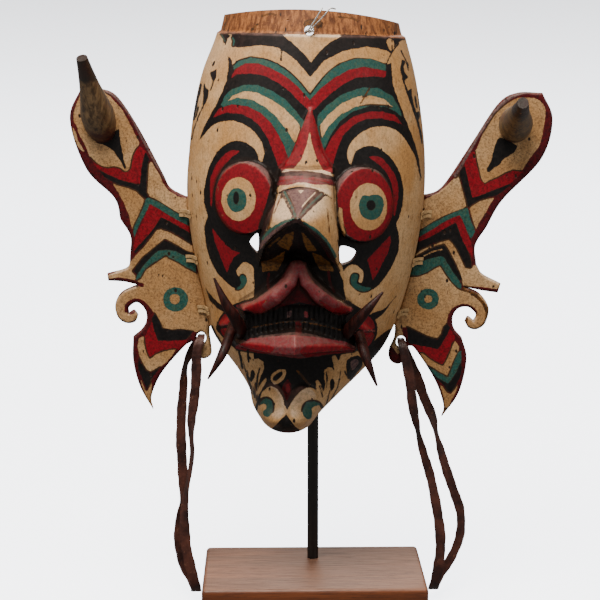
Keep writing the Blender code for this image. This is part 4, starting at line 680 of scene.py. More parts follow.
# Paint of the ears, in pixels of the photograph
EAR_LEFT_PAINT = [
    ("maroon", "edge", [(50, 70), (230, 70), (230, 430), (50, 430)]),
    # A mauve stroke along the ear's upper edge: the colour of that edge, and painted highlight where it
    # faces the light from above
    ("mauve", "line", [2.4, (100, 88), (112, 94), (122, 104), (131, 116), (139, 132), (148, 149),
        (157, 165), (166, 180)]),
    ("cream", "area", [(82, 89), (79, 97), (76, 105), (73.5, 113), (73.5, 120), (77, 127), (80, 136),
        (84, 143), (87, 150), (90, 157), (95, 163), (101, 167), (108, 168.5), (114, 167.5), (120, 169),
        (124, 172.5), (128, 172), (131, 168), (133, 157), (136, 150), (139, 145), (138.5, 141), (134, 132),
        (129, 122), (122, 110), (115, 102), (109, 95), (100, 86), (90, 84)]),
    ("cream", "area", [(72.6, 127.5), (75.4, 132), (78.4, 141), (84.4, 151), (81.4, 150.6), (76.4, 143.4),
        (73, 134.6)]),
    ("black", "edge", [(95, 142.5), (101, 144), (108, 147), (114, 151.5), (118, 157), (121.5, 163),
        (124.5, 169), (126.4, 168.4), (124, 160), (122, 150), (120, 141), (119, 129), (112, 132),
        (104, 137)]),
    ("red", "edge", [(90, 158), (95, 163), (101, 167), (108, 168.5), (114, 167.5), (120, 169), (124, 172.5),
        (128, 172), (131, 168), (133, 157), (136, 150), (140, 146), (146, 151), (144, 158), (141, 170),
        (140, 184), (135, 183.6), (124, 181), (115, 177.5), (106, 173.5), (97, 168)]),
    ("black", "edge", [(99, 170), (106, 173.5), (115, 177.5), (124, 181), (135, 184), (140, 184),
        (141, 170), (145, 151), (150, 160), (148, 163), (147, 175), (146, 192), (149, 198.4), (147, 200),
        (143, 196.5), (137, 190.5), (129, 187), (119, 184.4), (111, 181), (104, 177)]),
    ("cream", "edge", [(147.6, 163), (151.6, 161.6), (155, 168), (159, 173), (163, 183), (168, 190),
        (177, 196), (189, 199), (189, 220), (181, 216), (174, 212), (166, 207), (158, 202), (151, 198.5),
        (146, 193)]),
    ("cream", "edge", [(112.6, 183), (119, 184.6), (129, 187.4), (137, 191), (142, 196), (146, 200),
        (143, 208), (139, 217), (135, 225), (133.5, 231), (131, 226), (129, 215), (124, 203), (118, 192)]),
    ("green", "edge", [(146, 198.6), (149, 197.6), (158, 201.6), (166, 206.6), (174, 211.4), (181, 215.4),
        (190, 219.6), (190, 226.6), (181, 222), (171, 216.6), (162, 211), (153, 206), (149.6, 204.4),
        (146, 212), (141, 222), (137, 230), (134.6, 237), (133, 231), (135, 225), (139, 217), (143, 208)]),
    ("red", "edge", [(149.6, 203.6), (153, 205.6), (162, 211), (171, 216.6), (181, 222), (190, 226.6),
        (190, 234), (178, 227), (168, 221), (161, 218), (158, 223), (155, 229), (149, 237), (141, 246),
        (134, 253), (133, 246), (136, 236), (141, 224), (146, 213)]),
    ("black", "edge", [(161, 217), (168, 220.5), (178, 226), (191, 233.4), (192, 244), (180, 236.5),
        (170, 231), (161, 228), (156, 229), (150, 237), (142, 247), (135, 254), (133.6, 251), (141, 243),
        (149, 234), (154.6, 227)]),
    ("cream", "edge", [(133, 259), (147, 242), (155, 230), (159, 228.5), (163, 229), (180, 237), (192, 244),
        (195, 254.6), (186, 252), (178, 247), (165, 240), (150, 252.5), (143, 258), (133, 271), (137, 277),
        (137, 281), (127, 278.5), (118, 277.5), (109, 279), (107, 275.4), (116, 272), (126, 266),
        (130, 262.4)]),
    ("black", "edge", [(165, 240), (178, 247), (188, 252), (196, 255), (195, 260), (182, 254.5), (175, 251),
        (166, 249.5), (158, 251), (150, 258), (143, 266), (137, 275), (133, 271), (143, 258), (150, 252.5),
        (157, 246)]),
    ("green", "edge", [(137, 275), (143, 266), (150, 258), (158, 251), (166, 249.5), (175, 251),
        (182, 254.5), (196, 260), (196, 273), (187, 267.5), (178, 261.5), (170, 258), (166, 255),
        (160, 258.5), (152, 264), (145, 269), (140, 278), (136, 280)]),
    ("cream", "edge", [(137, 281), (140, 278), (145, 269), (152, 264), (160, 258.5), (166, 255), (170, 258),
        (178, 261.5), (187, 267.5), (198, 273), (206, 285), (212, 300), (216, 320), (216, 345), (212, 362),
        (203, 362), (200, 355), (202, 345), (203, 336), (200, 332.4), (191, 331.6), (180, 330), (172, 331),
        (162, 329), (159, 322), (154, 313), (149, 305.6), (143, 301.4), (138, 299.6), (132, 299.6),
        (127.4, 302.6), (125, 307), (126, 312), (130, 314.6), (134, 313.6), (136, 310), (140, 314),
        (138, 320), (130, 325), (122, 323), (115, 316), (113, 306), (116, 297), (125, 289), (134, 285.6),
        (143, 286)]),
    ("maroon", "edge", [(106, 280.2), (122, 279.4), (133, 280.6), (144, 283.6), (143, 287), (133, 285.4),
        (120, 284), (106, 284)]),
    ("mauve", "line", [1.8, (136, 285.8), (127, 288), (118.4, 294.6), (114.6, 303), (115.6, 313.4),
        (121, 320.6), (129, 323.4), (136.4, 319.8)]),
    ("maroon", "line", [3.0, (126, 311), (126.6, 306), (131, 301.4), (137, 300.4), (143.6, 303),
        (148.4, 309), (150, 318), (147, 328), (140, 335)]),
    ("black", "edge", [(154.6, 313.6), (159, 320), (162, 328.5), (172, 330.5), (184, 330), (193, 331.5),
        (190, 335.6), (186, 339.6), (172, 341), (158, 340.6), (155, 333), (152, 325), (152, 318)]),
    ("red", "edge", [(152, 322), (155, 333), (158, 340.6), (172, 341), (187, 340), (188, 343), (180, 351),
        (177, 348), (170, 348.5), (162, 350.5), (155, 353.4), (150, 357.4), (147.6, 352), (145.6, 344),
        (145, 336), (148, 330)]),
    ("cream", "edge", [(139, 338), (144.6, 335.6), (145.6, 344), (148, 354), (150, 357.4), (155, 353.4),
        (162, 350.6), (170, 348.6), (176, 348.6), (172, 356), (167, 362), (160, 367.2), (154, 371.2),
        (150, 372.6), (146, 370.4), (142, 364.4), (139.5, 357), (137.6, 346)]),
    ("black", "edge", [(138.4, 357), (142, 364.4), (146, 370.6), (150, 373), (154, 371.4), (160, 367.4),
        (156.4, 372.6), (152, 378.4), (149.4, 384), (146.5, 389.6), (144, 383), (141, 376), (138, 367)]),
    ("cream", "edge", [(141, 380.6), (144, 386), (147, 391), (149, 386), (151, 379), (151.8, 388),
        (151.4, 398), (153, 408), (149, 403), (146, 396), (143, 389)]),
    ("green", "round", [(175.5, 299.5), (12.6, 12.3)]),
    ("cream", "round", [(174.6, 299), (5.1, 5.2)]),
    ("brown", "line", [1.0, (197, 303), (198, 310), (206, 309)]),
]
EAR_RIGHT_PAINT = [
    ("maroon", "edge", [(380, 70), (565, 70), (565, 430), (380, 430)]),
    # A mauve stroke along the ear's upper edge: the colour of that edge, and painted highlight where it
    # faces the light from above
    ("mauve", "line", [2.4, (455, 176), (466, 158), (479, 135), (492, 115), (506, 101), (522, 93),
        (538, 92)]),
    ("cream", "area", [(518, 98), (526, 97.5), (534, 98), (540, 101), (543.4, 105), (545.5, 110),
        (545, 120), (543, 131), (541, 141), (537, 149), (531, 157), (526, 164), (521, 171), (513, 171),
        (506, 173.5), (499, 177.5), (491, 180.5), (485, 184.4), (480.5, 180), (478, 170), (476, 161),
        (474.5, 152), (477, 148), (480, 140), (482, 133), (486, 127), (490, 120), (494, 114), (500, 108),
        (508, 102.5)]),
    ("black", "edge", [(497, 140), (500, 137), (508, 140), (518, 146), (514, 152.4), (509, 155.5),
        (503, 160), (499, 165), (494, 168), (490, 172), (487, 172), (487, 168), (491, 162), (493, 153),
        (495, 146)]),
    ("red", "edge", [(466, 161), (471, 152), (474.5, 151.6), (476, 161), (478, 170), (480.5, 180),
        (485, 184.5), (491, 181), (499, 177.5), (506, 173.5), (513, 171), (523, 171.5), (517, 178),
        (509, 184), (500, 187.5), (490, 191.5), (480, 195.8), (472.5, 198), (470, 190), (467, 176),
        (464, 167)]),
    ("black", "edge", [(460.4, 170), (465, 165.6), (467, 175), (470, 188), (472.5, 197.5), (480, 195.5),
        (490, 191.5), (500, 187.5), (508, 184.5), (512, 184), (504, 190.6), (496, 195.8), (488, 197.4),
        (479, 200), (470.5, 205.4), (468, 208), (466, 198), (463, 187), (459.4, 174)]),
    ("cream", "edge", [(420, 232), (420, 202), (428, 198), (436, 194), (444, 188), (450, 182), (456, 177),
        (459, 173.4), (462, 185), (465, 196), (467.5, 206.5), (464, 209.8), (456, 212.4), (446, 216.4),
        (436, 221.4), (428, 226.4)]),
    ("cream", "edge", [(469.6, 206.6), (479, 200.4), (488, 197.8), (495, 197), (491, 203), (487, 210),
        (483, 217), (479, 223), (475, 231), (472.5, 222), (470, 212)]),
    ("green", "edge", [(419, 231.6), (428, 226), (436, 221), (446, 216), (456, 211.5), (463, 208.5),
        (467.6, 207.4), (469.4, 214), (472.4, 224), (475.4, 232), (470.5, 240), (467, 231), (463.5, 222),
        (460, 215.4), (452, 218.4), (443, 223), (434, 228.6), (427, 233), (419, 237.4)]),
    ("red", "edge", [(418, 238), (427, 232.5), (434, 228.5), (443, 222.5), (452, 218), (460, 215),
        (463.5, 222.6), (467, 231.4), (470.5, 240), (473.4, 250), (472.4, 258), (468, 250.6), (463, 241),
        (459, 230.4), (456, 222.4), (448, 226.6), (438, 232.4), (428, 238), (418, 242)]),
    ("black", "edge", [(416.6, 242.4), (428, 238), (438, 232.5), (448, 226.5), (456, 222.6), (459, 231),
        (463, 241), (468, 251), (471.4, 261), (471.4, 268), (466, 267.4), (462, 258.6), (457, 248.6),
        (452, 241.4), (449, 238.6), (440, 240.8), (430, 244.8), (421, 248.6), (414, 254)]),
    ("cream", "edge", [(413, 255), (421, 248.5), (430, 245), (440, 241), (449, 238.3), (453, 242),
        (457, 248), (461, 256), (466, 266.6), (470, 267.6), (475, 264.6), (482, 270), (490, 276),
        (504, 281), (500, 291.4), (492, 289.6), (480, 288.2), (470, 288), (463, 286.4), (461, 280),
        (459, 273.4), (454, 262.4), (448, 250.8), (444, 244.8), (436, 247), (428, 250.5), (420, 255),
        (412, 260.4)]),
    ("black", "edge", [(411, 261), (420, 255), (428, 250.5), (436, 247), (444, 244.8), (448, 251),
        (454, 262), (459, 273), (462.4, 279.4), (459, 280.6), (453, 272.4), (448, 264.4), (444, 257.4),
        (440, 256.4), (430, 259), (420, 262.4), (410, 266.4)]),
    # A thin cream stroke in the black band: a painted highlight
    ("cream", "line", [0.7, (424, 256), (433, 251.6), (442, 249.6)]),
    ("green", "edge", [(409, 267), (420, 262), (430, 258.8), (440, 256.2), (444, 257.4), (448, 264),
        (453, 272), (459, 280), (461.4, 284), (461.5, 290), (458, 287.6), (452, 281.4), (446, 273.4),
        (442, 266.6), (440, 264.4), (434, 267.6), (426, 272.4), (418, 275.4), (408, 275.6)]),
    ("cream", "edge", [(400, 276), (408, 275.6), (418, 275.4), (426, 272.4), (434, 267.6), (440, 264.4),
        (442, 266.6), (446, 273.4), (452, 281.4), (458, 287.6), (461.5, 289.4), (470, 290), (480, 294),
        (488, 302), (491, 314), (487, 326), (478, 333), (468, 331), (462, 324), (464, 316), (470, 315),
        (475, 317), (477, 313), (473, 307.6), (467, 305.6), (460, 305.6), (454, 308.6), (450, 313.6),
        (448.4, 320), (447, 324.6), (444, 327.4), (442, 334.4), (438, 339.4), (434, 339), (426, 336.4),
        (417, 332), (408, 327.6), (402, 327), (404, 345), (398, 354), (390, 344), (392, 310)]),
    ("maroon", "edge", [(466, 286.4), (478, 286.6), (492, 288.6), (503, 289), (501, 295), (488, 293),
        (476, 291.6), (464, 290)]),
    ("brown", "line", [3.0, (464, 288.6), (473, 293.6), (480.6, 300), (485.6, 308), (487, 316), (484, 324),
        (478, 329.4), (470, 329.4), (465.4, 324), (466.6, 318.6)]),
    ("maroon", "line", [2.8, (448.6, 322), (450, 315), (453.6, 309.6), (459, 306.4), (466, 305.8),
        (472, 308), (475.6, 312)]),
    ("black", "edge", [(407, 327), (417, 332), (426, 336.5), (434, 339), (438, 339.5), (442, 334.5),
        (444, 327.5), (447.4, 323.6), (450, 328), (447, 335.6), (441, 345.6), (438, 349.6), (430, 347.6),
        (420, 345.6), (408, 343.6)]),
    ("red", "edge", [(410, 343.6), (420, 345.5), (430, 347.5), (438, 349.5), (441, 345.5), (447, 335.5),
        (450, 329), (455, 337), (452.4, 343), (449, 351.4), (446, 358.4), (442.5, 364.4), (438, 362.4),
        (430, 357.6), (423, 352.4), (413, 350)]),
    ("cream", "edge", [(419, 351.6), (424, 352.5), (430, 357.5), (438, 362.5), (442.5, 364.4), (446, 358.4),
        (449, 351.4), (452, 343), (455, 340.4), (459.4, 347), (459, 352.4), (455, 360.4), (451, 370.4),
        (448, 377.4), (446, 376.6), (440, 373.6), (432, 368.6), (424, 362.4)]),
    ("green", "edge", [(426, 365.4), (432, 368.5), (440, 373.5), (446, 376.6), (448, 377), (451, 370),
        (455, 360), (458, 353), (461.4, 350.6), (461.4, 362), (456, 372.4), (451, 380.4), (448, 383.6),
        (442, 380.6), (434, 374.6)]),
    ("black", "edge", [(429, 370.6), (434, 374.5), (442, 380.5), (448, 383.5), (451, 380.5), (456, 372.5),
        (460.6, 362), (462, 368), (460, 378.6), (455, 386.6), (451, 392.6), (448, 391.6), (443, 384.6),
        (436, 378.6)]),
    ("cream", "edge", [(439.6, 383.6), (444, 387), (448, 393), (450, 393), (455, 386.8), (458.4, 384),
        (456, 391.6), (451, 400.6), (449, 409), (445, 410), (444, 400), (441.6, 391)]),
    ("brown", "edge", [(442, 409), (451, 408.6), (447, 416), (440, 418)]),
    ("green", "round", [(428, 299), (10.9, 10.4)]),
    ("cream", "round", [(428, 299), (3.9, 3.8)]),
]


# Reading a table of stations
def station(table, column, at):
    """Smooth curve through one column of a table whose first column rises."""
    keys = np.array([row[0] for row in table])
    values = np.array([row[column] for row in table])
    slopes = np.gradient(values, keys)
    at = np.clip(at, keys[0], keys[-1])
    i = np.clip(np.searchsorted(keys, at, side="right") - 1, 0, len(keys) - 2)
    span = keys[i + 1] - keys[i]
    t = (at - keys[i]) / span
    a = values[i] * (1 + 2 * t) * (1 - t) ** 2 + slopes[i] * span * t * (1 - t) ** 2
    b = values[i + 1] * t * t * (3 - 2 * t) + slopes[i + 1] * span * t * t * (t - 1)
    return a + b


def step(distance, width):
    """0 below -width/2, 1 above width/2 and smooth between."""
    t = np.clip(distance / width + 0.5, 0.0, 1.0)
    return t * t * (3 - 2 * t)


# Form of the shell's front, as depth forward of its back
def middle(z):
    """Middle of the shell across, at a height."""
    return 0.5 * (station(OUTLINE, 1, z) + station(OUTLINE, 2, z))


def half_width(z):
    """Half the shell's width at a height."""
    return 0.5 * (station(OUTLINE, 2, z) - station(OUTLINE, 1, z))


def band_line(x):
    """Height of the bare band's lower edge, which dips to the right."""
    return MASK_HEIGHT - BAND_HEIGHT - BAND_SLOPE * (x - SHELL_MIDDLE)


def top_line(x):
    """Height of the shell's arched top edge."""
    return MASK_HEIGHT - TOP_SLOPE * (x - SHELL_MIDDLE) - TOP_ARCH * (x - SHELL_MIDDLE) ** 2


def bridge(x, z, rest):
    """The raised triangle above the nose."""
    left = station(BRIDGE, 1, z)
    right = station(BRIDGE, 2, z)
    inside = np.minimum(np.minimum(x - left, right - x), BRIDGE[-1][0] - z)
    across = 1 - np.abs(2 * (x - left) / np.maximum(right - left, 1.0) - 1)
    foot = np.clip((BRIDGE[-1][0] - z) / (BRIDGE[-1][0] - BRIDGE[0][0]), 0, 1)
    growth = BRIDGE_FOOT_RISE - BRIDGE_TIP_RISE
    rise = BRIDGE_TIP_RISE + growth * foot * np.clip(across, 0, 1) ** BRIDGE_SWELL
    inside = np.where(z < BRIDGE[0][0] - CARVE_SOFTNESS, -CARVE_SOFTNESS, inside)
    return rest + rise * step(inside, CARVE_SOFTNESS)


def snout(x, z, rest):
    """The snout: a hood with a seam above, and its hollow underside."""
    left = station(SNOUT, 1, z)
    crest = station(SNOUT, 2, z)
    right = station(SNOUT, 3, z)
    high = station(SNOUT, 4, z)
    low = station(SNOUT, 5, z)
    across = np.where(x < crest, (crest - x) / (crest - left), (x - crest) / (right - crest))
    across = np.clip(across, 0, 1)
    hood = low + (high - low) * (HOOD_ROUND * np.sqrt(1 - across ** 2) + HOOD_STRAIGHT * (1 - across))
    seam = SNOUT_SEAM_HEIGHT - SNOUT_SEAM_BOW * (x - SNOUT_SEAM_MIDDLE) ** 2
    hood = hood + SNOUT_SEAM_STEP * step(seam - z, CARVE_SOFTNESS)
    rim = station(SNOUT_RIM, 1, x)
    below = np.clip(rim - z, 0, UNDER_REACH)
    keel = 1 - np.clip(np.abs(x - crest) / UNDER_KEEL, 0, 1)
    hollow = hood - SNOUT_RIM_THICKNESS - UNDER_SLOPE * below - UNDER_FLARE * (1 - keel)
    pit_z, pit_rx, pit_rz, pit_depth = NOSTRIL
    pit = pit_depth * np.exp(-((x - crest) / pit_rx) ** 2 - ((z - pit_z) / pit_rz) ** 2)
    hollow = np.maximum(hollow, rest) - pit
    form = hollow + (hood - hollow) * step(z - rim, CARVE_SOFTNESS)
    inside = np.minimum(np.minimum(x - left, right - x), SNOUT_TOP - z)
    inside = np.minimum(inside, z - SNOUT[0][0])
    return rest + (np.maximum(form, rest - pit) - rest) * step(inside, CARVE_SOFTNESS)


def eye(x, z, rest, shape, outward):
    """A round disc that faces outward, with a wall that shows on its inner side."""
    cx, cz, rx, rz = shape
    face_ring = 1 - np.sqrt(((x - cx) / rx) ** 2 + ((z - cz) / rz) ** 2)
    fx = cx - outward * EYE_WALL_SHIFT
    drop = EYE_WALL_DROP * EYE_WALL_SHIFT
    foot_ring = 1 - np.sqrt(((x - fx) / rx) ** 2 + ((z - cz - drop) / rz) ** 2)
    face = EYE_DEPTH - outward * EYE_SLOPE * (x - cx) + EYE_DOME * np.clip(1 - (1 - face_ring) ** 2, 0, 1)
    foot = np.clip(foot_ring, 0, None)
    wall = foot / np.maximum(foot - np.minimum(face_ring, 0), 1e-6)
    on_face = step(face_ring * rx, CARVE_SOFTNESS)
    on_wall = np.where(foot_ring > 0, wall, 0.0)
    part = np.maximum(on_face, on_wall)
    return rest + np.maximum(face - rest, 0) * part


def roll(x, z, path):
    """A rounded bead along a path: its front surface and the distance inside it."""
    best = np.full(x.shape, -1e9)
    form = np.zeros(x.shape)
    for (x0, z0, h0, r0), (x1, z1, h1, r1) in zip(path[:-1], path[1:]):
        along = ((x - x0) * (x1 - x0) + (z - z0) * (z1 - z0)) / ((x1 - x0) ** 2 + (z1 - z0) ** 2)
        t = np.clip(along, 0, 1)
        away = np.hypot(x - x0 - t * (x1 - x0), z - z0 - t * (z1 - z0))
        radius = r0 + t * (r1 - r0)
        crest = h0 + t * (h1 - h0)
        inside = radius - away
        height = crest - radius + np.sqrt(np.clip(radius ** 2 - away ** 2, 0, None))
        nearer = inside > best
        form = np.where(nearer, height, form)
        best = np.where(nearer, inside, best)
    return form, best


def muzzle(x, z, rest):
    """The muzzle, with grooves between the teeth and between their rows."""
    across = np.clip((x - MOUTH_MIDDLE) / MUZZLE_HALF, -1, 1)
    arc = MUZZLE_SIDE_DEPTH + (MUZZLE_DEPTH - MUZZLE_SIDE_DEPTH) * np.sqrt(1 - across ** 2)
    line = TEETH_LINE - TEETH_LINE_DROP * (x - MOUTH_MIDDLE) ** 2
    place = np.abs((x - MOUTH_MIDDLE) / TOOTH_PITCH)
    groove = np.abs(place - np.floor(place) - 0.5) * TOOTH_PITCH
    cut = 1 - step(groove - TOOTH_GAP, 2 * TOOTH_GAP)
    gap = 1 - step(np.abs(z - line) - TEETH_LINE_HALF, TEETH_LINE_SOFTNESS)
    teeth = step(TEETH_TOP - z, CARVE_SOFTNESS)
    arc = arc - TOOTH_GROOVE * np.maximum(cut, gap) * teeth + GUM_RISE * (1 - teeth)
    lips = sorted(LIP_ROLL_LEFT[::-1] + LIP_ROLL_RIGHT)
    roof = np.interp(x, [row[0] for row in lips], [row[1] for row in lips])
    inside = np.minimum(MUZZLE_HALF - MUZZLE_MARGIN - np.abs(x - MOUTH_MIDDLE), z - MUZZLE_LOW)
    inside = np.minimum(inside, roof - z)
    return rest + np.maximum(arc - rest, 0) * step(inside, 2 * CARVE_SOFTNESS)


def lower_lip(x, z, rest):
    """The lower lip, whose keel line stands furthest forward."""
    low = station(LOWER_LIP, 1, x)
    high = station(LOWER_LIP, 2, x)
    keel = np.interp(x, [row[0] for row in LOWER_LIP], [row[3] for row in LOWER_LIP])
    up = np.clip((z - low) / np.maximum(high - low, 1.0), 0, 1)
    above = LIP_CHAMFER * np.clip(up - LIP_KEEL, 0, 1) / (1 - LIP_KEEL)
    below = LIP_UNDERCUT * np.clip(LIP_KEEL - up, 0, 1) / LIP_KEEL
    form = keel - above - below
    inside = np.minimum(np.minimum(z - low, high - z), np.minimum(x - LOWER_LIP[0][0], LOWER_LIP[-1][0] - x))
    return rest + np.maximum(form - rest, 0) * step(inside, CARVE_SOFTNESS)


def mouth_corner(x, z, rest, shape):
    """A creased corner of the mouth that thins towards its tip."""
    tip, root, height, half = shape
    along = (x - root) / (tip - root)
    inside = (1 - np.clip(along, 0, None)) * half - np.abs(z - height) * CORNER_SLOPE
    inside = np.where(along < CORNER_START, OUTSIDE, inside)
    crease = np.exp(-((z - height) / CORNER_CREASE_HALF) ** 2)
    rise = CORNER_RISE * step(inside - CORNER_MARGIN, CORNER_SOFTNESS)
    return rest + rise * (1 - CORNER_CREASE_DEPTH * crease)


def front_depth(x, z, plain):
    """Depth of the carved front, where plain is the depth of the shell without carving."""
    depth = bridge(x, z, plain)
    depth = eye(x, z, depth, EYE_LEFT, -1)
    depth = eye(x, z, depth, EYE_RIGHT, 1)
    depth = mouth_corner(x, z, depth, CORNER_LEFT)
    depth = mouth_corner(x, z, depth, CORNER_RIGHT)
    depth = muzzle(x, z, depth)
    depth = snout(x, z, depth)
    depth = lower_lip(x, z, depth)
    for path in (LIP_ROLL_LEFT, LIP_ROLL_RIGHT):
        form, inside = roll(x, z, path)
        depth = depth + np.maximum(form - depth, 0) * step(inside, CARVE_SOFTNESS)
    for cx, cz, rx, rz in CHIN_BOSSES:
        ring = 1 - np.sqrt(((x - cx) / rx) ** 2 + ((z - cz) / rz) ** 2)
        depth = depth + CHIN_RISE * step(ring * rx - CHIN_MARGIN, CHIN_SOFTNESS)
    return depth


def shell_grids(columns, rows):
    """Front and hollow of the shell as grids of points, in the mask's own frame."""
    turn = np.linspace(-pi / 2, pi / 2, columns + 1)[None, :]
    level = np.linspace(0, 1, rows + 1)[:, None]
    arch = step(level - FRONT_ARCH[0], FRONT_ARCH[1])
    z = level * MASK_HEIGHT + 0 * turn
    for _ in range(3):
        at_side = middle(z) + half_width(z) * np.sin(turn)
        inset = BAND_INSET * step(z - band_line(at_side), CARVE_SOFTNESS)
        x = middle(z) + (half_width(z) - inset) * np.sin(turn)
        z = level * MASK_HEIGHT + (top_line(x) - MASK_HEIGHT) * arch
    plain = (station(OUTLINE, 3, z) - inset) * np.cos(turn)
    depth = front_depth(x, z, plain)
    depth[:, 0] = 0.0
    depth[:, -1] = 0.0
    return np.stack([x, -depth, z], axis=2)


def hollow_grid(columns, rows):
    """The shell's hollow as a grid of points, rounded at both ends like a bowl."""
    turn = np.linspace(-pi / 2, pi / 2, columns + 1)[None, :]
    level = np.linspace(0, 1, rows + 1)[:, None]
    low = CHIN_WALL
    high = MASK_HEIGHT - TOP_WALL
    z = low + (high - low) * (0.5 - 0.5 * np.cos(pi * level)) + 0 * turn
    end = np.sqrt(np.clip(1 - np.clip(1 - (z - low) / HOLLOW_LOW_ROUNDING, 0, 1) ** 2, 0, 1))
    end = end * np.sqrt(np.clip(1 - np.clip(1 - (high - z) / HOLLOW_TOP_ROUNDING, 0, 1) ** 2, 0, 1))
    width = half_width(z) - SHELL_WALL
    x = middle(z) + width * np.sin(turn)
    z = z + (top_line(x) - MASK_HEIGHT) * step(level - HOLLOW_ARCH[0], HOLLOW_ARCH[1])
    depth = (station(OUTLINE, 3, z) - SHELL_WALL) * np.cos(turn) * end
    return np.stack([x, -depth, z], axis=2)


# Paths
def curve_point(a, b, c, d, t):
    """Place at share t between b and c on the smooth curve through four points."""
    square = (2 * a - 5 * b + 4 * c - d) * t ** 2
    cube = (3 * b - a - 3 * c + d) * t ** 3
    return 0.5 * (2 * b + (c - a) * t + square + cube)


def smooth_path(points, steps):
    """Points on a smooth curve through the given ones."""
    points = [np.array(p, dtype=float) for p in points]
    ends = [2 * points[0] - points[1]] + points + [2 * points[-1] - points[-2]]
    spans = zip(ends[:-3], ends[1:-2], ends[2:-1], ends[3:])
    return [curve_point(*span, i / steps) for span in spans for i in range(steps)] + [points[-1]]


def lengths_along(path):
    """Length of a path from its start to each of its points."""
    return np.concatenate([[0], np.cumsum(np.linalg.norm(np.diff(path[:, :3], axis=0), axis=1))])


def even_path(points, spacing):
    """The smooth curve through the points, read again at an even spacing."""
    fine = np.array(smooth_path(points, EVEN_STEPS))
    lengths = lengths_along(fine)
    count = max(2, int(round(lengths[-1] / spacing)))
    at = np.linspace(0, lengths[-1], count + 1)
    return np.stack([np.interp(at, lengths, fine[:, k]) for k in range(fine.shape[1])], axis=1)


def forward(x, z, depth):
    """A point of the mask's own frame, whose depth runs towards the viewer."""
    return np.array([x, -depth, z])


def frames_along(path):
    """Side and up directions carried along a path without sudden turns."""
    path = np.asarray(path)[:, :3]
    tangents = np.gradient(path, axis=0)
    tangents /= np.linalg.norm(tangents, axis=1)[:, None]
    side = np.cross(tangents[0], (0.0, 1.0, 0.0))
    if np.linalg.norm(side) < 0.2:
        side = np.array([1.0, 0.0, 0.0])
    frames = []
    for tangent in tangents:
        side = side - tangent * np.dot(side, tangent)
        side /= np.linalg.norm(side)
        frames.append((side.copy(), np.cross(tangent, side)))
    return frames


def joint_edge(side, z):
    """The ear's inner edge, which follows the shell's edge with a gap."""
    edge = station(OUTLINE, 1 if side < 0 else 2, z)
    return float(edge + side * EAR_GAP)


def rod_path():
    """Up from the block, then forward into the mask's hollow."""
    bar_z = MASK_HEIGHT - TOP_WALL - CROSSPIECE_DROP + BLOCK_HEIGHT + ROD_SHOWN
    arm_z = bar_z - CROSSPIECE_RADIUS - TOUCH_GAP - ROD_RADIUS
    low = BLOCK_HEIGHT - ROD_SOCKET + TOUCH_GAP
    points = [(0.0, ROD_Y, low), (0.0, ROD_Y, arm_z - ROD_BEND)]
    for k in range(1, ROD_BEND_STEPS):
        a = pi / 2 * k / ROD_BEND_STEPS
        points.append((0.0, ROD_Y - ROD_BEND * (1 - cos(a)), arm_z - ROD_BEND * (1 - sin(a))))
    points.append((0.0, ROD_Y - ROD_BEND, arm_z))
    points.append((0.0, MASK_BACK_Y - ARM_REACH, arm_z))
    return points, bar_z


# Viewpoint of the photograph, in millimetres and degrees, and pixels for each unit
# of slope. The picture is 600 pixels wide and high
VIEW_FROM = (-41.2, -1504.5, 580.6)
VIEW_TILT = radians(10.26)
VIEW_TURN = radians(1.06)
VIEW_SCALE = 1596.0
PICTURE = 600.0
SENSOR = 36.0

# Fineness of the visible meshes
FACE_COLUMNS = 278
FACE_ROWS = 328
FACE_HOLLOW_COLUMNS = 50
FACE_HOLLOW_ROWS = 58
EAR_GRAIN = 1.35
# Spacing of its rows and clearance from the outline, as shares of the grain
EAR_ROW = 0.87
EAR_MARGIN = 0.6
EAR_ROUNDING = 2.2
BLOCK_ROUNDING = 4.0
# How far the ears tuck in behind the edge of the face
EAR_TUCK = 1.8
TUSK_FINE_SIDES = 28
TUSK_FINE_STEPS = 12
PEG_FINE_SIDES = 40
STRAP_FINE_STEPS = 8
# Turns of the wire's knot: shift across, tilt and radius
WIRE_TURNS = [(-1.2, 0.3, 2.4), (0.4, 1.1, 2.1), (1.6, -0.5, 2.6), (2.4, 0.8, 2.0)]
# The knot's points for each turn, its depth, how that steps with the shift, and its swell
KNOT_POINTS = 20
KNOT_DEPTH = 82.5
KNOT_STEP = 0.8
KNOT_SWELL = 1.9
WIRE_FINE_STEPS = 6
# Roundness of the wire, the rod and the crosspiece
WIRE_FINE = 5
ROD_FINE = 10
CROSSPIECE_FINE = 8
# Half thickness of a strap from edge to edge, as a share of the full one
STRAP_SECTION = [0.45, 0.9, 1, 0.9, 0.8, 0.9, 1, 0.9, 0.45]
STRAP_CURL = 0.35
# Steps between the points of a curve: paint outlines, even paths, peep holes and pegs
AREA_STEPS = 4
EVEN_STEPS = 12
PEEP_STEPS = 5
PEG_STEPS = 6
# Points round the painted discs, the slots in the ears and the wire's hole
DISC_POINTS = 48
SLOT_POINTS = 32
WIRE_HOLE_POINTS = 24
# Share of a peg's length over which its rings turn square to it
PEG_LEAN = 0.3
# Depths between which the holes are cut
PEEP_CUT_NEAR = 20.0
WIRE_CUT_NEAR = 40.0
CUT_FAR = SHELL_WALL + 140.0
# Reach over which the carving's relief is measured, in steps of the grid
RELIEF_REACH = 4
# Edge of the ears that counts as a ridge
EAR_RIDGE = 1.2
# How far a colour runs on under the one that covers it, in pixels
UNDERLAP = 1.5
# How much wider a painted line runs than drawn, in pixels
LINE_SPREAD = 0.22
# Furthest distance from an outline that is kept, in pixels
REACH = 6.0
# Room left round an area within which its distances are measured
NEAR_MARGIN = 3
PAINTS = ("black", "brown", "ochre", "mauve", "maroon", "red", "rose", "green", "wood")


def colour(red, green, blue):
    """A colour from its 0 to 255 values."""
    parts = [c / 255 for c in (red, green, blue)]
    linear = [c / 12.92 if c <= 0.04045 else ((c + 0.055) / 1.055) ** 2.4 for c in parts]
    return (*linear, 1.0)


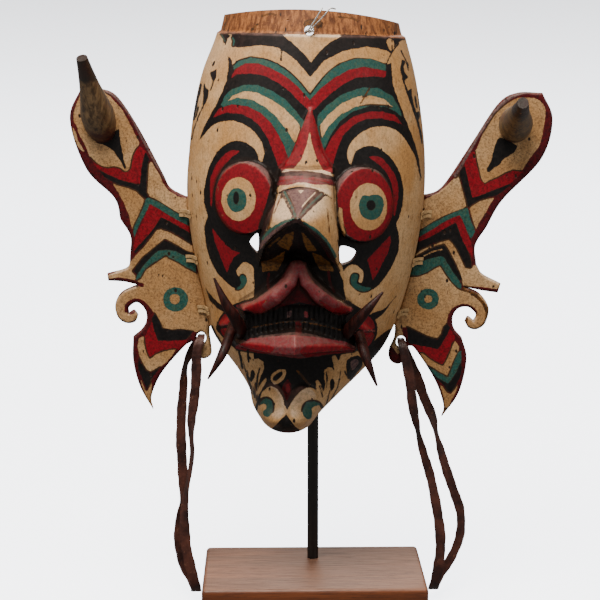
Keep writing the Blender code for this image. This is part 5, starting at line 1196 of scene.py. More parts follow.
CREAM = colour(198, 146, 88)
CREAM_PALE = colour(218, 178, 130)
# Pale cream for chalky wear and painted sheen on what faces up
CREAM_CHALK_AND_SHEEN = colour(232, 208, 180)
CREAM_DIRTY = colour(138, 96, 56)
GRIME = colour(62, 42, 26)
# Tones of wear on the paint, with painted sheen on what faces up and painted shade in the cuts, and of the
# bare wood behind it
SMOKE = colour(104, 84, 64)
# Dusty tone, also a painted sheen where the surface faces the light from above
DUST_AND_SHEEN = colour(146, 108, 98)
# Dirt, and painted shade, darkening the carved cuts
CUT_DIRT_AND_SHADE = colour(34, 22, 14)
SCUFFED = colour(132, 98, 66)
SCRATCHED = colour(70, 48, 30)
PITTED = colour(40, 26, 18)
BARE_DARK = colour(82, 50, 28)
BARE_PALE = colour(146, 98, 58)
# How grimy the paint of the face and of the ears is
FACE_GRIME = 0.06
EAR_GRIME = 0.34
# Each paint's fresh and worn tone
PAINT_COLOURS = {
    "black": (colour(12, 10, 11), colour(24, 20, 20)),
    "brown": (colour(110, 68, 24), colour(60, 36, 14)),
    "ochre": (colour(146, 98, 44), colour(84, 56, 26)),
    "mauve": (colour(108, 82, 78), colour(76, 54, 58)),
    "maroon": (colour(86, 8, 16), colour(60, 8, 14)),
    "red": (colour(138, 9, 26), colour(114, 9, 22)),
    "rose": (colour(124, 40, 46), colour(116, 62, 64)),
    "green": (colour(34, 84, 78), colour(56, 88, 74)),
    "wood": (colour(168, 108, 62), colour(104, 60, 32)),
}

# The studio's floor and walls, in metres
FLOOR_REACH = 2.0
BEND = 1.4
WALL_TOP = 4.0
BOWL_SIDES = 64
BOWL_RINGS = 16
# Glow of the paper low down and high up, and the height over which it changes
PAPER_GLOW = (0.90, 0.93, 1.0, 1.0)
GLOW_LOW = 4.3
GLOW_HIGH = 1.5
GLOW_HEIGHT = 0.8

# Lights: name, place, aim, size and power
WARM = (1.0, 0.93, 0.84)
LIGHTS = [
    ("top_light", (-0.30, -0.80, 2.1), (0.0, 0.0, 0.25), (1.1, 1.1), 66.0),
    ("left_light", (-1.7, -1.1, 1.1), (0.0, 0.0, 0.35), (0.8, 1.2), 6.5),
    ("right_light", (1.7, -1.2, 1.1), (0.0, 0.0, 0.35), (0.8, 1.2), 8.0),
    ("back_light", (0.3, 1.9, 1.5), (0.0, 0.0, 0.3), (1.2, 0.8), 14.0),
]
SKY = (1.0, 0.97, 0.94, 1.0)
SKY_STRENGTH = 0.22
WIRE_TINT = (0.75, 0.74, 0.72, 1.0)

MASK_PLACE = np.array([0.0, MASK_BACK_Y, BLOCK_HEIGHT + ROD_SHOWN])
# Edges sharper than this keep a crease
SHARP = radians(50.0)
BLOCK_SHARP = radians(30.0)
BLOCK_SEGMENTS = 5


# Camera, light and background
def linked(name, data):
    """A new object, placed in the scene."""
    made = bpy.data.objects.new(name, data)
    bpy.context.scene.collection.objects.link(made)
    return made


def add_camera():
    """The viewpoint of the photograph."""
    data = bpy.data.cameras.new("camera")
    data.lens = SENSOR * VIEW_SCALE / PICTURE
    data.sensor_width = SENSOR
    camera = linked("camera", data)
    camera.location = Vector(VIEW_FROM) * MM
    camera.rotation_euler = (pi / 2 - VIEW_TILT, 0.0, -VIEW_TURN)
    bpy.context.scene.camera = camera


def add_area_light(name, place, aim, size, power):
    """A rectangular warm light, aimed at a point."""
    data = bpy.data.lights.new(name, "AREA")
    data.shape = "RECTANGLE"
    data.size, data.size_y = size
    data.energy = power
    data.color = WARM
    light = linked(name, data)
    light.location = place
    light.rotation_euler = (Vector(aim) - Vector(place)).to_track_quat("-Z", "Y").to_euler()


def add_studio():
    """The world, the lights and the backdrop."""
    world = bpy.data.worlds.new("studio")
    world.use_nodes = True
    sky = world.node_tree.nodes["Background"].inputs
    sky["Color"].default_value = SKY
    sky["Strength"].default_value = SKY_STRENGTH
    bpy.context.scene.world = world
    for light in LIGHTS:
        add_area_light(*light)
    add_backdrop()


def add_backdrop():
    """A pale bowl: the floor, a wide bend and the wall all round."""
    bends = np.linspace(0, pi / 2, BOWL_RINGS)
    profile = [(FLOOR_REACH + BEND * sin(a), BEND * (1 - cos(a))) for a in bends]
    profile += [(FLOOR_REACH + BEND, WALL_TOP)]
    turns = np.linspace(0, 2 * pi, BOWL_SIDES + 1)[:-1]
    bm = bmesh.new()
    rows = [[bm.verts.new((r * cos(t), r * sin(t), z)) for t in turns] for r, z in profile]
    bm.faces.new(rows[0])
    for low, high in zip(rows[:-1], rows[1:]):
        for k in range(BOWL_SIDES):
            bm.faces.new([low[k], high[k], high[k - 1], low[k - 1]])
    bmesh.ops.recalc_face_normals(bm, faces=bm.faces)
    mesh = bpy.data.meshes.new("backdrop")
    bm.to_mesh(mesh)
    bm.free()
    mesh.shade_smooth()
    mesh.materials.append(backdrop_paper())
    backdrop = linked("backdrop", mesh)
    backdrop.visible_diffuse = False
    backdrop.visible_glossy = False
    backdrop.visible_shadow = False


# A short way to write node materials
class Shader:
    def __init__(self, name):
        self.material = bpy.data.materials.new(name)
        self.material.use_nodes = True
        self.tree = self.material.node_tree
        self.shader = self.tree.nodes["Principled BSDF"]
        places = self.tree.nodes.new("ShaderNodeTexCoord")
        self.places = places.outputs["Object"]
        self.normals = places.outputs["Normal"]

    def feed(self, socket, value):
        """Link another node's output to a socket, or set a constant on it."""
        if isinstance(value, bpy.types.NodeSocket):
            self.tree.links.new(value, socket)
        else:
            socket.default_value = value

    def node(self, kind, inputs, **settings):
        made = self.tree.nodes.new(kind)
        for key, value in settings.items():
            setattr(made, key, value)
        for key, value in inputs.items():
            self.feed(made.inputs[key], value)
        return made

    def stretched(self, x, y, z):
        return self.node("ShaderNodeMapping", {"Vector": self.places, "Scale": (x, y, z)}).outputs["Vector"]

    def noise(self, scale, detail=4.0, roughness=0.55, distortion=0.0, places=None):
        inputs = {
            "Vector": places or self.places, "Scale": scale, "Detail": detail,
            "Roughness": roughness, "Distortion": distortion,
        }
        return self.node("ShaderNodeTexNoise", inputs).outputs["Fac"]

    def cells(self, scale, places=None):
        inputs = {"Vector": places or self.places, "Scale": scale}
        return self.node("ShaderNodeTexVoronoi", inputs).outputs["Distance"]

    def attribute(self, name):
        return self.node("ShaderNodeAttribute", {}, attribute_name=name).outputs["Fac"]

    def height_of(self, vector):
        return self.node("ShaderNodeSeparateXYZ", {"Vector": vector}).outputs["Z"]

    def math(self, operation, a, b=0.0, c=0.0):
        return self.node("ShaderNodeMath", {0: a, 1: b, 2: c}, operation=operation).outputs[0]

    def times(self, a, b):
        return self.math("MULTIPLY", a, b)

    def plus(self, a, b):
        return self.math("ADD", a, b)

    def smooth(self, value, low, high, start=0.0, end=1.0):
        inputs = {"Value": value, "From Min": low, "From Max": high, "To Min": start, "To Max": end}
        return self.node("ShaderNodeMapRange", inputs, interpolation_type="SMOOTHSTEP").outputs["Result"]

    def mix(self, factor, a, b, blend="MIX"):
        made = self.node("ShaderNodeMix", {}, data_type="RGBA", blend_type=blend)
        self.feed(made.inputs[0], factor)
        self.feed(made.inputs[6], a)
        self.feed(made.inputs[7], b)
        return made.outputs[2]

    def over(self, base, tone, mask, low, high, share=None):
        """A tone laid over the base where the mask rises from low to high."""
        factor = self.smooth(mask, low, high)
        return self.mix(factor if share is None else self.times(factor, share), base, tone)

    def set(self, name, value):
        self.feed(self.shader.inputs[name], value)

    def rough(self, mask, low, high):
        """Roughness that follows a noise."""
        self.set("Roughness", self.smooth(mask, 0.3, 0.7, low, high))

    def bump(self, height, strength, distance):
        made = self.node("ShaderNodeBump", {"Height": height, "Strength": strength, "Distance": distance})
        self.set("Normal", made.outputs["Normal"])


# Materials
def painted_wood(name, grime):
    """Worn house paint over carved wood, laid where the paint distances are positive."""
    s = Shader(name)
    cloud = s.noise(16.0, 5.0, 0.6)
    brushed = s.noise(60.0, 5.0, 0.65, places=s.stretched(5.0, 5.0, 1.0))
    mottle = s.noise(130.0, 6.0, 0.7)
    relief = s.attribute("relief")
    upward = s.attribute("upward")
    # The cream ground, paler where it faces up: chalky wear and painted sheen of the light from above
    base = s.mix(s.smooth(cloud, 0.36, 0.66), CREAM, CREAM_PALE)
    base = s.over(base, CREAM_DIRTY, brushed, 0.50, 0.74, 0.6)
    base = s.over(base, CREAM_DIRTY, mottle, 0.55, 0.72, 0.5)
    chalk_and_sheen = s.times(s.smooth(upward, 0.18, 0.6, 0.0, 0.6), s.smooth(relief, -0.6, 0.0))
    base = s.mix(chalk_and_sheen, base, CREAM_CHALK_AND_SHEEN)
    base = s.mix(s.smooth(cloud, 0.3, 0.7, 1.2 * grime, 0.7 * grime), base, SMOKE)
    base = painted_areas(s, base, brushed)
    # Brush and wear grain over all of it
    grain = s.smooth(s.noise(480.0, 8.0, 0.85), 0.39, 0.56, 0.76 - 0.9 * grime, 1.08 + 0.12 * grime)
    grey = s.node("ShaderNodeCombineColor", {0: grain, 1: grain, 2: grain}).outputs[0]
    base = s.mix(1.0, base, grey, "MULTIPLY")
    # Dust and painted sheen on what faces up, dirt and painted shade in the cuts
    dust_and_sheen = s.times(s.smooth(upward, 0.12, 0.7), s.smooth(mottle, 0.42, 0.60, 0.16, 0.40))
    dust_and_sheen = s.times(dust_and_sheen, s.smooth(relief, -0.5, 0.2))
    base = s.mix(dust_and_sheen, base, DUST_AND_SHEEN, "LIGHTEN")
    # Darker in the hollows of the carving: dirt and painted shade
    base = s.over(base, CUT_DIRT_AND_SHADE, relief, -0.6, -2.4, 0.55)
    base, pit = worn(s, base, relief, grime)
    # Bare wood on the inside and the back
    streak = s.noise(45.0, 6.0, 0.6, 0.4, s.stretched(6.0, 6.0, 0.7))
    base = s.mix(s.attribute("bare"), base, s.mix(streak, BARE_DARK, BARE_PALE))
    s.set("Base Color", base)
    s.rough(s.noise(260.0, 4.0), 0.40, 0.64)
    s.set("Specular IOR Level", 0.26)
    height = s.plus(s.times(brushed, 0.5), s.times(s.noise(500.0, 5.0), 0.35))
    s.bump(s.math("SUBTRACT", height, s.times(pit, 1.6)), 0.5, 0.0007)
    return s.material


def painted_areas(s, base, brushed):
    """Each paint with a frayed edge, and a thin dark gap where two of them meet."""
    wobble = s.math("MULTIPLY_ADD", s.noise(170.0, 3.0), 2.0, -1.0)
    fray = s.math("MULTIPLY_ADD", s.noise(900.0, 4.0, 0.7), 1.7, -0.85)
    wobble = s.plus(wobble, fray)
    patchy = s.smooth(s.noise(320.0, 6.0, 0.65), 0.42, 0.62)
    base = s.over(base, GRIME, s.attribute("meeting"), -1.9, -1.1)
    for paint in PAINTS:
        plain, shaded = PAINT_COLOURS[paint]
        tone = s.mix(s.smooth(brushed, 0.38, 0.62) if paint == "wood" else patchy, plain, shaded)
        base = s.over(base, tone, s.plus(s.attribute("paint_" + paint), wobble), -0.35, 0.35)
    return base


def worn(s, base, relief, grime):
    """Scuffs that show the wood, more on the ridges, then scratches, pits and wormholes."""
    scuff = s.plus(s.noise(210.0, 7.0, 0.75), s.times(s.smooth(relief, 0.35, 2.2), 0.10))
    base = s.over(base, SCUFFED, scuff, 0.67, 0.77, 0.8)
    scratch = s.noise(520.0, 4.0, 0.7, places=s.stretched(2.6, 2.6, 0.55))
    base = s.over(base, SCRATCHED, scratch, 0.66, 0.74, 0.55)
    chosen = s.smooth(s.noise(75.0, 2.0), 0.51, 0.57)
    pit = s.times(s.smooth(s.cells(115.0, s.stretched(1.0, 1.0, 0.62)), 0.19, 0.11), chosen)
    speck = s.smooth(s.noise(1000.0, 3.0, 0.6), 0.655 - 0.12 * grime, 0.715 - 0.12 * grime)
    return s.mix(s.math("MAXIMUM", pit, s.times(speck, 0.8)), base, PITTED), pit


def tusk_wood():
    s = Shader("tusk_wood")
    streak = s.noise(70.0, 6.0, 0.65, 0.3, s.stretched(3.5, 3.5, 1.0))
    base = s.mix(s.smooth(streak, 0.35, 0.68), colour(26, 8, 6), colour(60, 20, 14))
    # Pale patches: worn wood and painted highlights
    base = s.over(base, colour(92, 52, 40), s.noise(300.0, 6.0, 0.7), 0.62, 0.74)
    base = s.over(base, colour(30, 18, 20), s.noise(120.0, 5.0, 0.7), 0.60, 0.72)
    s.set("Base Color", base)
    s.rough(streak, 0.42, 0.60)
    s.set("Specular IOR Level", 0.25)
    s.bump(s.noise(240.0, 6.0, 0.6, 0.0, s.stretched(3.0, 3.0, 1.0)), 0.35, 0.0008)
    return s.material


def peg_wood():
    """Pale turned wood with a painted tip and foot."""
    s = Shader("peg_wood")
    streak = s.noise(80.0, 6.0, 0.6, 0.5, s.stretched(3.0, 3.0, 1.0))
    base = s.mix(s.smooth(streak, 0.32, 0.7), colour(62, 46, 30), colour(132, 106, 74))
    base = s.over(base, colour(104, 76, 54), s.noise(55.0, 4.0, 0.6), 0.55, 0.68)
    along = s.plus(s.attribute("along"), s.math("MULTIPLY_ADD", s.noise(120.0, 4.0), 0.2, -0.1))
    tip = s.mix(s.noise(90.0, 3.0), colour(60, 20, 18), colour(30, 44, 36))
    base = s.over(base, tip, along, 0.66, 0.76)
    foot = s.mix(s.noise(140.0, 4.0), colour(74, 22, 22), colour(40, 26, 24))
    base = s.over(base, foot, along, 0.20, 0.10)
    base = s.over(base, colour(170, 118, 66), s.noise(170.0, 6.0, 0.7), 0.66, 0.72)
    s.set("Base Color", base)
    s.rough(streak, 0.32, 0.5)
    s.bump(s.noise(260.0, 5.0, 0.6, 0.0, s.stretched(3.0, 3.0, 1.0)), 0.3, 0.0008)
    return s.material


def rattan():
    s = Shader("rattan")
    fibre = s.noise(90.0, 5.0, 0.6, 0.0, s.stretched(1.0, 1.0, 9.0))
    base = s.mix(fibre, colour(150, 112, 66), colour(206, 176, 130))
    s.set("Base Color", s.over(base, colour(84, 58, 34), s.noise(400.0, 5.0), 0.55, 0.7))
    s.rough(fibre, 0.5, 0.7)
    s.bump(fibre, 0.4, 0.0005)
    return s.material


def hide():
    s = Shader("hide_strip")
    blotch = s.noise(45.0, 6.0, 0.65)
    base = s.mix(s.smooth(blotch, 0.35, 0.66), colour(40, 16, 13), colour(86, 44, 32))
    s.set("Base Color", s.over(base, colour(130, 88, 66), s.noise(160.0, 6.0, 0.7), 0.60, 0.72))
    s.rough(blotch, 0.38, 0.62)
    s.bump(s.plus(s.noise(350.0, 6.0, 0.7), s.times(s.cells(420.0), 0.5)), 0.5, 0.0008)
    return s.material


def bright_wire():
    s = Shader("bright_wire")
    dull = tuple(0.7 * c for c in WIRE_TINT[:3]) + (1.0,)
    s.set("Base Color", s.mix(s.noise(300.0, 4.0), WIRE_TINT, dull))
    s.set("Metallic", 1.0)
    s.rough(s.noise(600.0, 4.0), 0.25, 0.45)
    return s.material


def black_paint():
    s = Shader("black_paint")
    fleck = s.noise(900.0, 3.0)
    s.set("Base Color", s.mix(fleck, colour(8, 8, 8), colour(15, 14, 14)))
    s.rough(s.noise(120.0, 3.0), 0.34, 0.46)
    s.bump(fleck, 0.15, 0.0003)
    return s.material


def walnut():
    """Grained wood whose top is painted paler, as a painted reflection of the pale backdrop."""
    s = Shader("walnut")
    fine = s.noise(40.0, 8.0, 0.75, 0.2, s.stretched(0.6, 20.0, 20.0))
    broad = s.noise(10.0, 4.0, 0.55, 0.6, s.stretched(0.4, 5.0, 5.0))
    base = s.mix(s.smooth(broad, 0.35, 0.65), colour(92, 46, 22), colour(128, 70, 38))
    # Painted reflection: the faces that point up are mixed towards a pale tone
    base = s.mix(s.smooth(s.height_of(s.normals), 0.5, 0.95, 0.0, 0.33), base, colour(206, 166, 142))
    base = s.over(base, colour(66, 32, 18), fine, 0.46, 0.64, 0.75)
    pores = s.noise(90.0, 5.0, 0.8, 0.0, s.stretched(0.7, 16.0, 16.0))
    base = s.over(base, colour(44, 22, 12), pores, 0.54, 0.64, 0.7)
    s.set("Base Color", base)
    s.rough(fine, 0.36, 0.5)
    s.bump(s.plus(fine, pores), 0.3, 0.0005)
    return s.material


def backdrop_paper():
    """Paper that glows as painted light, paler low down than high on the wall."""
    s = Shader("backdrop_paper")
    s.set("Base Color", s.mix(s.noise(3.0, detail=2.0), (0.86, 0.86, 0.87, 1.0), (0.89, 0.89, 0.90, 1.0)))
    s.set("Roughness", 0.85)
    # Painted light: the paper glows, more strongly low down
    s.set("Emission Color", PAPER_GLOW)
    s.set("Emission Strength", s.smooth(s.height_of(s.places), 0.0, GLOW_HEIGHT, GLOW_LOW, GLOW_HIGH))
    return s.material


# Laying paint on a surface
def on_picture(points):
    """Where points in the model's frame, in millimetres, fall on the photograph."""
    ahead = np.array([sin(VIEW_TURN) * cos(VIEW_TILT), cos(VIEW_TURN) * cos(VIEW_TILT), -sin(VIEW_TILT)])
    right = np.array([cos(VIEW_TURN), -sin(VIEW_TURN), 0.0])
    up = np.cross(right, ahead)
    away = points - np.array(VIEW_FROM)
    depth = away @ ahead
    u = PICTURE / 2 + VIEW_SCALE * (away @ right) / depth
    v = PICTURE / 2 - VIEW_SCALE * (away @ up) / depth
    return np.stack([u, v], axis=1)


def smooth_ring(points, steps=AREA_STEPS):
    """Points on a smooth closed curve through the given ones."""
    closed = [np.array(p, dtype=float) for p in (points[-1], *points, points[0], points[1])]
    spans = zip(closed[:-3], closed[1:-2], closed[2:-1], closed[3:])
    return np.array([curve_point(*span, i / steps) for span in spans for i in range(steps)])


def ellipse(cx, cy, rx, ry, count):
    """Points round an ellipse."""
    turns = np.linspace(0, 2 * pi, count + 1)[:-1]
    return np.array([(cx + rx * cos(a), cy + ry * sin(a)) for a in turns])


def from_line(places, path):
    """Distance from an open line."""
    best = np.full(len(places), 1e9)
    for a, b in zip(path[:-1], path[1:]):
        span = b - a
        t = np.clip(((places - a) @ span) / (span @ span), 0, 1)
        best = np.minimum(best, np.hypot(*(places - a - t[:, None] * span).T))
    return best


def within_ring(places, ring):
    """Distance inside a closed outline, negative outside it."""
    ends = np.roll(ring, -1, axis=0)
    crossings = np.zeros(len(places), dtype=bool)
    for a, b in zip(ring, ends):
        if a[1] == b[1]:
            continue
        spans = (a[1] > places[:, 1]) != (b[1] > places[:, 1])
        at = a[0] + (places[:, 1] - a[1]) * (b[0] - a[0]) / (b[1] - a[1])
        crossings ^= spans & (places[:, 0] < at)
    gap = from_line(places, np.vstack([ring, ring[:1]]))
    return np.where(crossings, gap, -gap)


def outline_of(kind, shape):
    """Points along the outline, or along the stroke, of a painted area."""
    if kind == "round":
        return ellipse(*shape[0], *shape[1], DISC_POINTS)
    if kind == "area":
        return smooth_ring(shape)
    if kind == "edge":
        return np.array(shape, dtype=float)
    return np.array(smooth_path(shape[1:], AREA_STEPS))


def lay_paint(places, areas):
    """Signed distance of each paint at each place, later areas covering earlier ones."""
    fields = {paint: np.full(len(places), -REACH) for paint in PAINTS}
    for paint, kind, shape in areas:
        ring = outline_of(kind, shape)
        low = ring.min(axis=0) - REACH - NEAR_MARGIN
        high = ring.max(axis=0) + REACH + NEAR_MARGIN
        near = np.all((places > low) & (places < high), axis=1)
        if kind == "line":
            inside = shape[0] / 2 + LINE_SPREAD - from_line(places[near], ring)
        else:
            inside = within_ring(places[near], ring)
        over = PAINTS.index(paint) if paint in PAINTS else -1
        for order, other in enumerate(PAINTS):
            under = UNDERLAP if order < over else 0.0
            if other == paint:
                fields[other][near] = np.maximum(fields[other][near], inside)
            else:
                fields[other][near] = np.minimum(fields[other][near], under - inside)
    fields = {paint: np.clip(field, -REACH, REACH) for paint, field in fields.items()}
    return fields, np.sort(np.stack(list(fields.values())), axis=0)[-2]


def give(mesh, name, values):
    """Values at the mesh's points, which its material reads."""
    values = np.asarray(values, dtype=np.float32)
    mesh.attributes.new(name, "FLOAT", "POINT").data.foreach_set("value", values)


def give_paint(mesh, places, areas, copies=1):
    """Paint distances, given to as many copies of the places as the mesh holds."""
    fields, meeting = lay_paint(places, areas)
    for paint, field in fields.items():
        give(mesh, "paint_" + paint, np.tile(field, copies))
    give(mesh, "meeting", np.tile(meeting, copies))


# Building the visible pieces
def mesh_object(name, points, faces, smooth=True):
    """A mesh in its place, from points in the mask's own frame."""
    mesh = bpy.data.meshes.new(name)
    mesh.from_pydata([tuple(p) for p in (np.asarray(points) + MASK_PLACE) * MM], [], faces)
    mesh.update()
    if smooth:
        mesh.shade_smooth()
        mesh.set_sharp_from_angle(angle=SHARP)
    return linked(name, mesh)


def facing_out(piece):
    """The piece with all its faces turned outwards."""
    bm = bmesh.new()
    bm.from_mesh(piece.data)
    bmesh.ops.recalc_face_normals(bm, faces=bm.faces)
    bm.to_mesh(piece.data)
    bm.free()
    return piece


def give_upward(mesh):
    """How far each point of the mesh faces up."""
    normals = np.empty(3 * len(mesh.vertices), dtype=np.float32)
    mesh.vertices.foreach_get("normal", normals)
    give(mesh, "upward", normals[2::3])


def finish(piece, material, slot, *nodes):
    """Material, body and the solids that a piece stands for. The slot argument is not used."""
    piece.data.materials.clear()
    piece.data.materials.append(material)
    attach(piece, "root")
    if nodes:
        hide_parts(*nodes)
    return piece


def grid_faces(rows, columns, start=0, flip=False):
    """Quads of a grid whose points are stored row by row."""
    r = np.arange(rows - 1)[:, None] * columns
    c = np.arange(columns - 1)[None, :]
    corner = (start + r + c).ravel()
    quads = np.stack([corner, corner + 1, corner + columns + 1, corner + columns], axis=1)
    return (quads[:, ::-1] if flip else quads).tolist()


def blurred(grid, reach):
    """Mean over a square neighbourhood."""
    padded = np.pad(grid, reach, mode="edge")
    total = np.pad(padded.cumsum(axis=0).cumsum(axis=1), ((1, 0), (1, 0)))
    size = 2 * reach + 1
    upper = total[size:, size:] - total[:-size, size:]
    return (upper - total[size:, :-size] + total[:-size, :-size]) / size ** 2


def joined(outer, inner, flip):
    """Faces between a long row of points and a shorter one beside it."""
    ratio = (len(outer) - 1) // (len(inner) - 1)
    faces = []
    for i in range(len(inner) - 1):
        loop = outer[i * ratio:(i + 1) * ratio + 1] + [inner[i + 1], inner[i]]
        loop = list(dict.fromkeys(loop))
        faces.append(loop[::-1] if flip else loop)
    return faces


def face_mesh():
    """Front, hollow and rims of the shell: points, faces, which are bare, and the relief."""
    front = shell_grids(FACE_COLUMNS, FACE_ROWS)
    hollow = hollow_grid(FACE_HOLLOW_COLUMNS, FACE_HOLLOW_ROWS)
    rows, columns = front.shape[:2]
    in_rows, in_columns = hollow.shape[:2]
    inner = rows * columns
    at_top = inner + in_rows * in_columns
    at_low = at_top + columns - 2
    # Flat top and bottom, whose back edges lie in the plane of the back
    flat = np.array([1.0, 0.0, 1.0])
    edge_top = front[-1, 1:-1] * flat
    edge_low = front[0, 1:-1] * flat
    points = np.vstack([front.reshape(-1, 3), hollow.reshape(-1, 3), edge_top, edge_low])
    top_back = [inner - columns, *range(at_top, at_low), inner - 1]
    low_back = [0, *range(at_low, at_low + columns - 2), columns - 1]
    faces = grid_faces(rows, columns)
    faces += grid_faces(in_rows, in_columns, inner, True)
    for near, far, flip in (
        (range(inner - columns, inner), top_back, False),
        (range(columns), low_back, True),
    ):
        faces += joined(list(near), far, flip)
    # The hollow's edge joined to the back edges of the shell
    left = [k * columns for k in range(rows)]
    in_left = [inner + k * in_columns for k in range(in_rows)]
    faces += joined(top_back, list(range(at_top - in_columns, at_top)), False)
    faces += joined(low_back, list(range(inner, inner + in_columns)), True)
    faces += joined(left, in_left, True)
    faces += joined([k + columns - 1 for k in left], [k + in_columns - 1 for k in in_left], False)
    # The rim's own points stay painted, as the brush ran over the edge
    bare = np.zeros(len(points))
    bare[inner:] = 1.0
    relief = np.zeros(len(points))
    relief[:inner] = (-front[:, :, 1] - blurred(-front[:, :, 1], RELIEF_REACH)).ravel()
    return points, faces, bare, relief


def cutter(name, ring, near):
    """A prism of the ring's outline, from the near depth through the whole shell."""
    count = len(ring)
    points = [forward(x, z, depth) for depth in (near, CUT_FAR) for x, z in ring]
    faces = [list(range(count))[::-1], list(range(count, 2 * count))]
    faces += [[k, (k + 1) % count, count + (k + 1) % count, count + k] for k in range(count)]
    return facing_out(mesh_object(name, points, faces, smooth=False))


def apply_modifiers(piece):
    """The piece's mesh as its modifiers leave it."""
    graph = bpy.context.evaluated_depsgraph_get()
    mesh = bpy.data.meshes.new_from_object(piece.evaluated_get(graph))
    piece.modifiers.clear()
    piece.data = mesh


def make_face(material):
    """The carved face with its paint and its holes."""
    points, faces, bare, relief = face_mesh()
    piece = mesh_object("painted_face", points, faces)
    areas = list(FACE_PAINT)
    # The band's slots and the brow's crack are black paint, a painted shade
    for x, y, wide, tall in BAND_SLOTS:
        areas.append(("black", "round", [(x, y), (wide / 2, tall / 2)]))
    areas.append(("black", "line", [FACE_CRACK_WIDTH] + FACE_CRACK))
    give_paint(piece.data, on_picture(points + MASK_PLACE), areas)
    give(piece.data, "bare", bare)
    give(piece.data, "relief", relief)
    cut_holes(piece)
    give_upward(piece.data)
    return finish(piece, material, "painted_wood", "mask_face")


def cut_holes(piece):
    """The two peep holes and the wire's hole."""
    x, drop, radius = WIRE_HOLE
    ring = ellipse(x, MASK_HEIGHT - drop, radius, radius, WIRE_HOLE_POINTS)
    holes = [
        ("peep_left_cut", smooth_ring(PEEP_LEFT, PEEP_STEPS), PEEP_CUT_NEAR),
        ("peep_right_cut", smooth_ring(PEEP_RIGHT, PEEP_STEPS), PEEP_CUT_NEAR),
        ("wire_hole_cut", ring, WIRE_CUT_NEAR),
    ]
    tools = [cutter(*hole) for hole in holes]
    for tool in tools:
        change = piece.modifiers.new(tool.name, "BOOLEAN")
        change.operation = "DIFFERENCE"
        change.solver = "EXACT"
        change.object = tool
    apply_modifiers(piece)
    for tool in tools:
        bpy.data.objects.remove(tool, do_unlink=True)


def ear_ring(stretches, side):
    """Closed outline of an ear: its free outline, then the edge that follows the shell."""
    free = []
    for stretch in stretches:
        free.extend(tuple(p) for p in even_path(stretch, EAR_GRAIN)[:-1])
    low, high = stretches[-1][-1][1], stretches[0][0][1]
    heights = np.linspace(low, high, int((high - low) / EAR_GRAIN))
    inner = [(joint_edge(side, z) - side * EAR_TUCK, z) for z in heights]
    return np.array([inner[-1]] + free[1:] + inner[:-1])


def ear_board(ring, hole):
    """Points over an ear's outline, apart from its slot, and the triangles between them."""
    low, high = ring.min(axis=0), ring.max(axis=0)
    across = np.arange(low[0], high[0], EAR_GRAIN)
    upward = np.arange(low[1], high[1], EAR_GRAIN * EAR_ROW)
    grid = np.array([(x + (k % 2) * EAR_GRAIN / 2, z) for k, z in enumerate(upward) for x in across])
    margin = EAR_MARGIN * EAR_GRAIN
    grid = grid[(within_ring(grid, ring) > margin) & (-within_ring(grid, hole) > margin)]
    flat = np.vstack([ring, hole, grid])
    n, m = len(ring), len(hole)
    edges = [(k, (k + 1) % n) for k in range(n)] + [(n + k, n + (k + 1) % m) for k in range(m)]
    made = delaunay_2d_cdt([Vector(p) for p in flat], edges, [list(range(n))], 0, 1e-5)
    flat = np.array([tuple(p) for p in made[0]])
    centres = np.array([np.mean(flat[list(f)], axis=0) for f in made[2]])
    keep = (within_ring(centres, ring) > 0) & (within_ring(centres, hole) < 0)
    triangles = []
    for (a, b, c), use in zip(made[2], keep):
        if use:
            triangles.append((a, b, c) if np.cross(flat[b] - flat[a], flat[c] - flat[a]) > 0 else (a, c, b))
    return flat, triangles


def make_ear(name, stretches, side, slot, areas, material):
    """A board with rounded edges: a front, a back and the edge between them."""
    ring = ear_ring(stretches, side)
    hole = ellipse(*slot, SLOT_POINTS)
    flat, triangles = ear_board(ring, hole)
    rim = np.minimum(np.maximum(within_ring(flat, ring), 0), np.maximum(-within_ring(flat, hole), 0))
    part = np.clip(1 - rim / EAR_ROUNDING, 0, 1)
    drop = EAR_ROUNDING * (1 - np.sqrt(1 - part ** 2))
    front = np.stack([flat[:, 0], -(EAR_BACK + EAR_THICKNESS - drop), flat[:, 1]], axis=1)
    back = np.stack([flat[:, 0], -(EAR_BACK + drop), flat[:, 1]], axis=1)
    count = len(flat)
    faces = []
    for a, b, c in triangles:
        faces += [[a, b, c], [count + a, count + c, count + b]]
    sides = dict.fromkeys(pair for a, b, c in triangles for pair in ((a, b), (b, c), (c, a)))
    faces += [[b, a, count + a, count + b] for a, b in sides if (b, a) not in sides]
    piece = mesh_object("painted_" + name, np.vstack([front, back]), faces)
    give_paint(piece.data, on_picture(front + MASK_PLACE), areas, 2)
    give(piece.data, "bare", np.repeat([0.0, 1.0], count))
    give(piece.data, "relief", np.tile(np.where(rim < EAR_RIDGE, EAR_RIDGE, 0.0), 2))
    give_upward(piece.data)
    return finish(piece, material, "ear_wood", name)


def tube_mesh(path, radii, sides):
    """Rings of points round a path, and the faces between them."""
    rings = []
    for point, (side, up), radius in zip(path, frames_along(path), radii):
        for k in range(sides):
            a = 2 * pi * k / sides
            rings.append(point[:3] + radius * (cos(a) * side + sin(a) * up))
    return np.array(rings), tube_faces(len(path), sides)


def tube_faces(count, sides):
    """Faces of a tube of rings with both ends closed."""
    faces = [list(range(sides))[::-1], [(count - 1) * sides + k for k in range(sides)]]
    for i in range(count - 1):
        for k in range(sides):
            a, b = i * sides + k, i * sides + (k + 1) % sides
            faces.append([a, b, b + sides, a + sides])
    return faces


def make_tusk(name, material):
    """A round tusk that tapers from its root."""
    rows = [(*forward(x, z, depth), radius) for x, z, depth, radius in TUSKS[name]]
    path = np.array(smooth_path(rows, TUSK_FINE_STEPS))
    points, faces = tube_mesh(path[:, :3], path[:, 3], TUSK_FINE_SIDES)
    return finish(facing_out(mesh_object("carved_" + name, points, faces)), material, "tusk_wood", name)


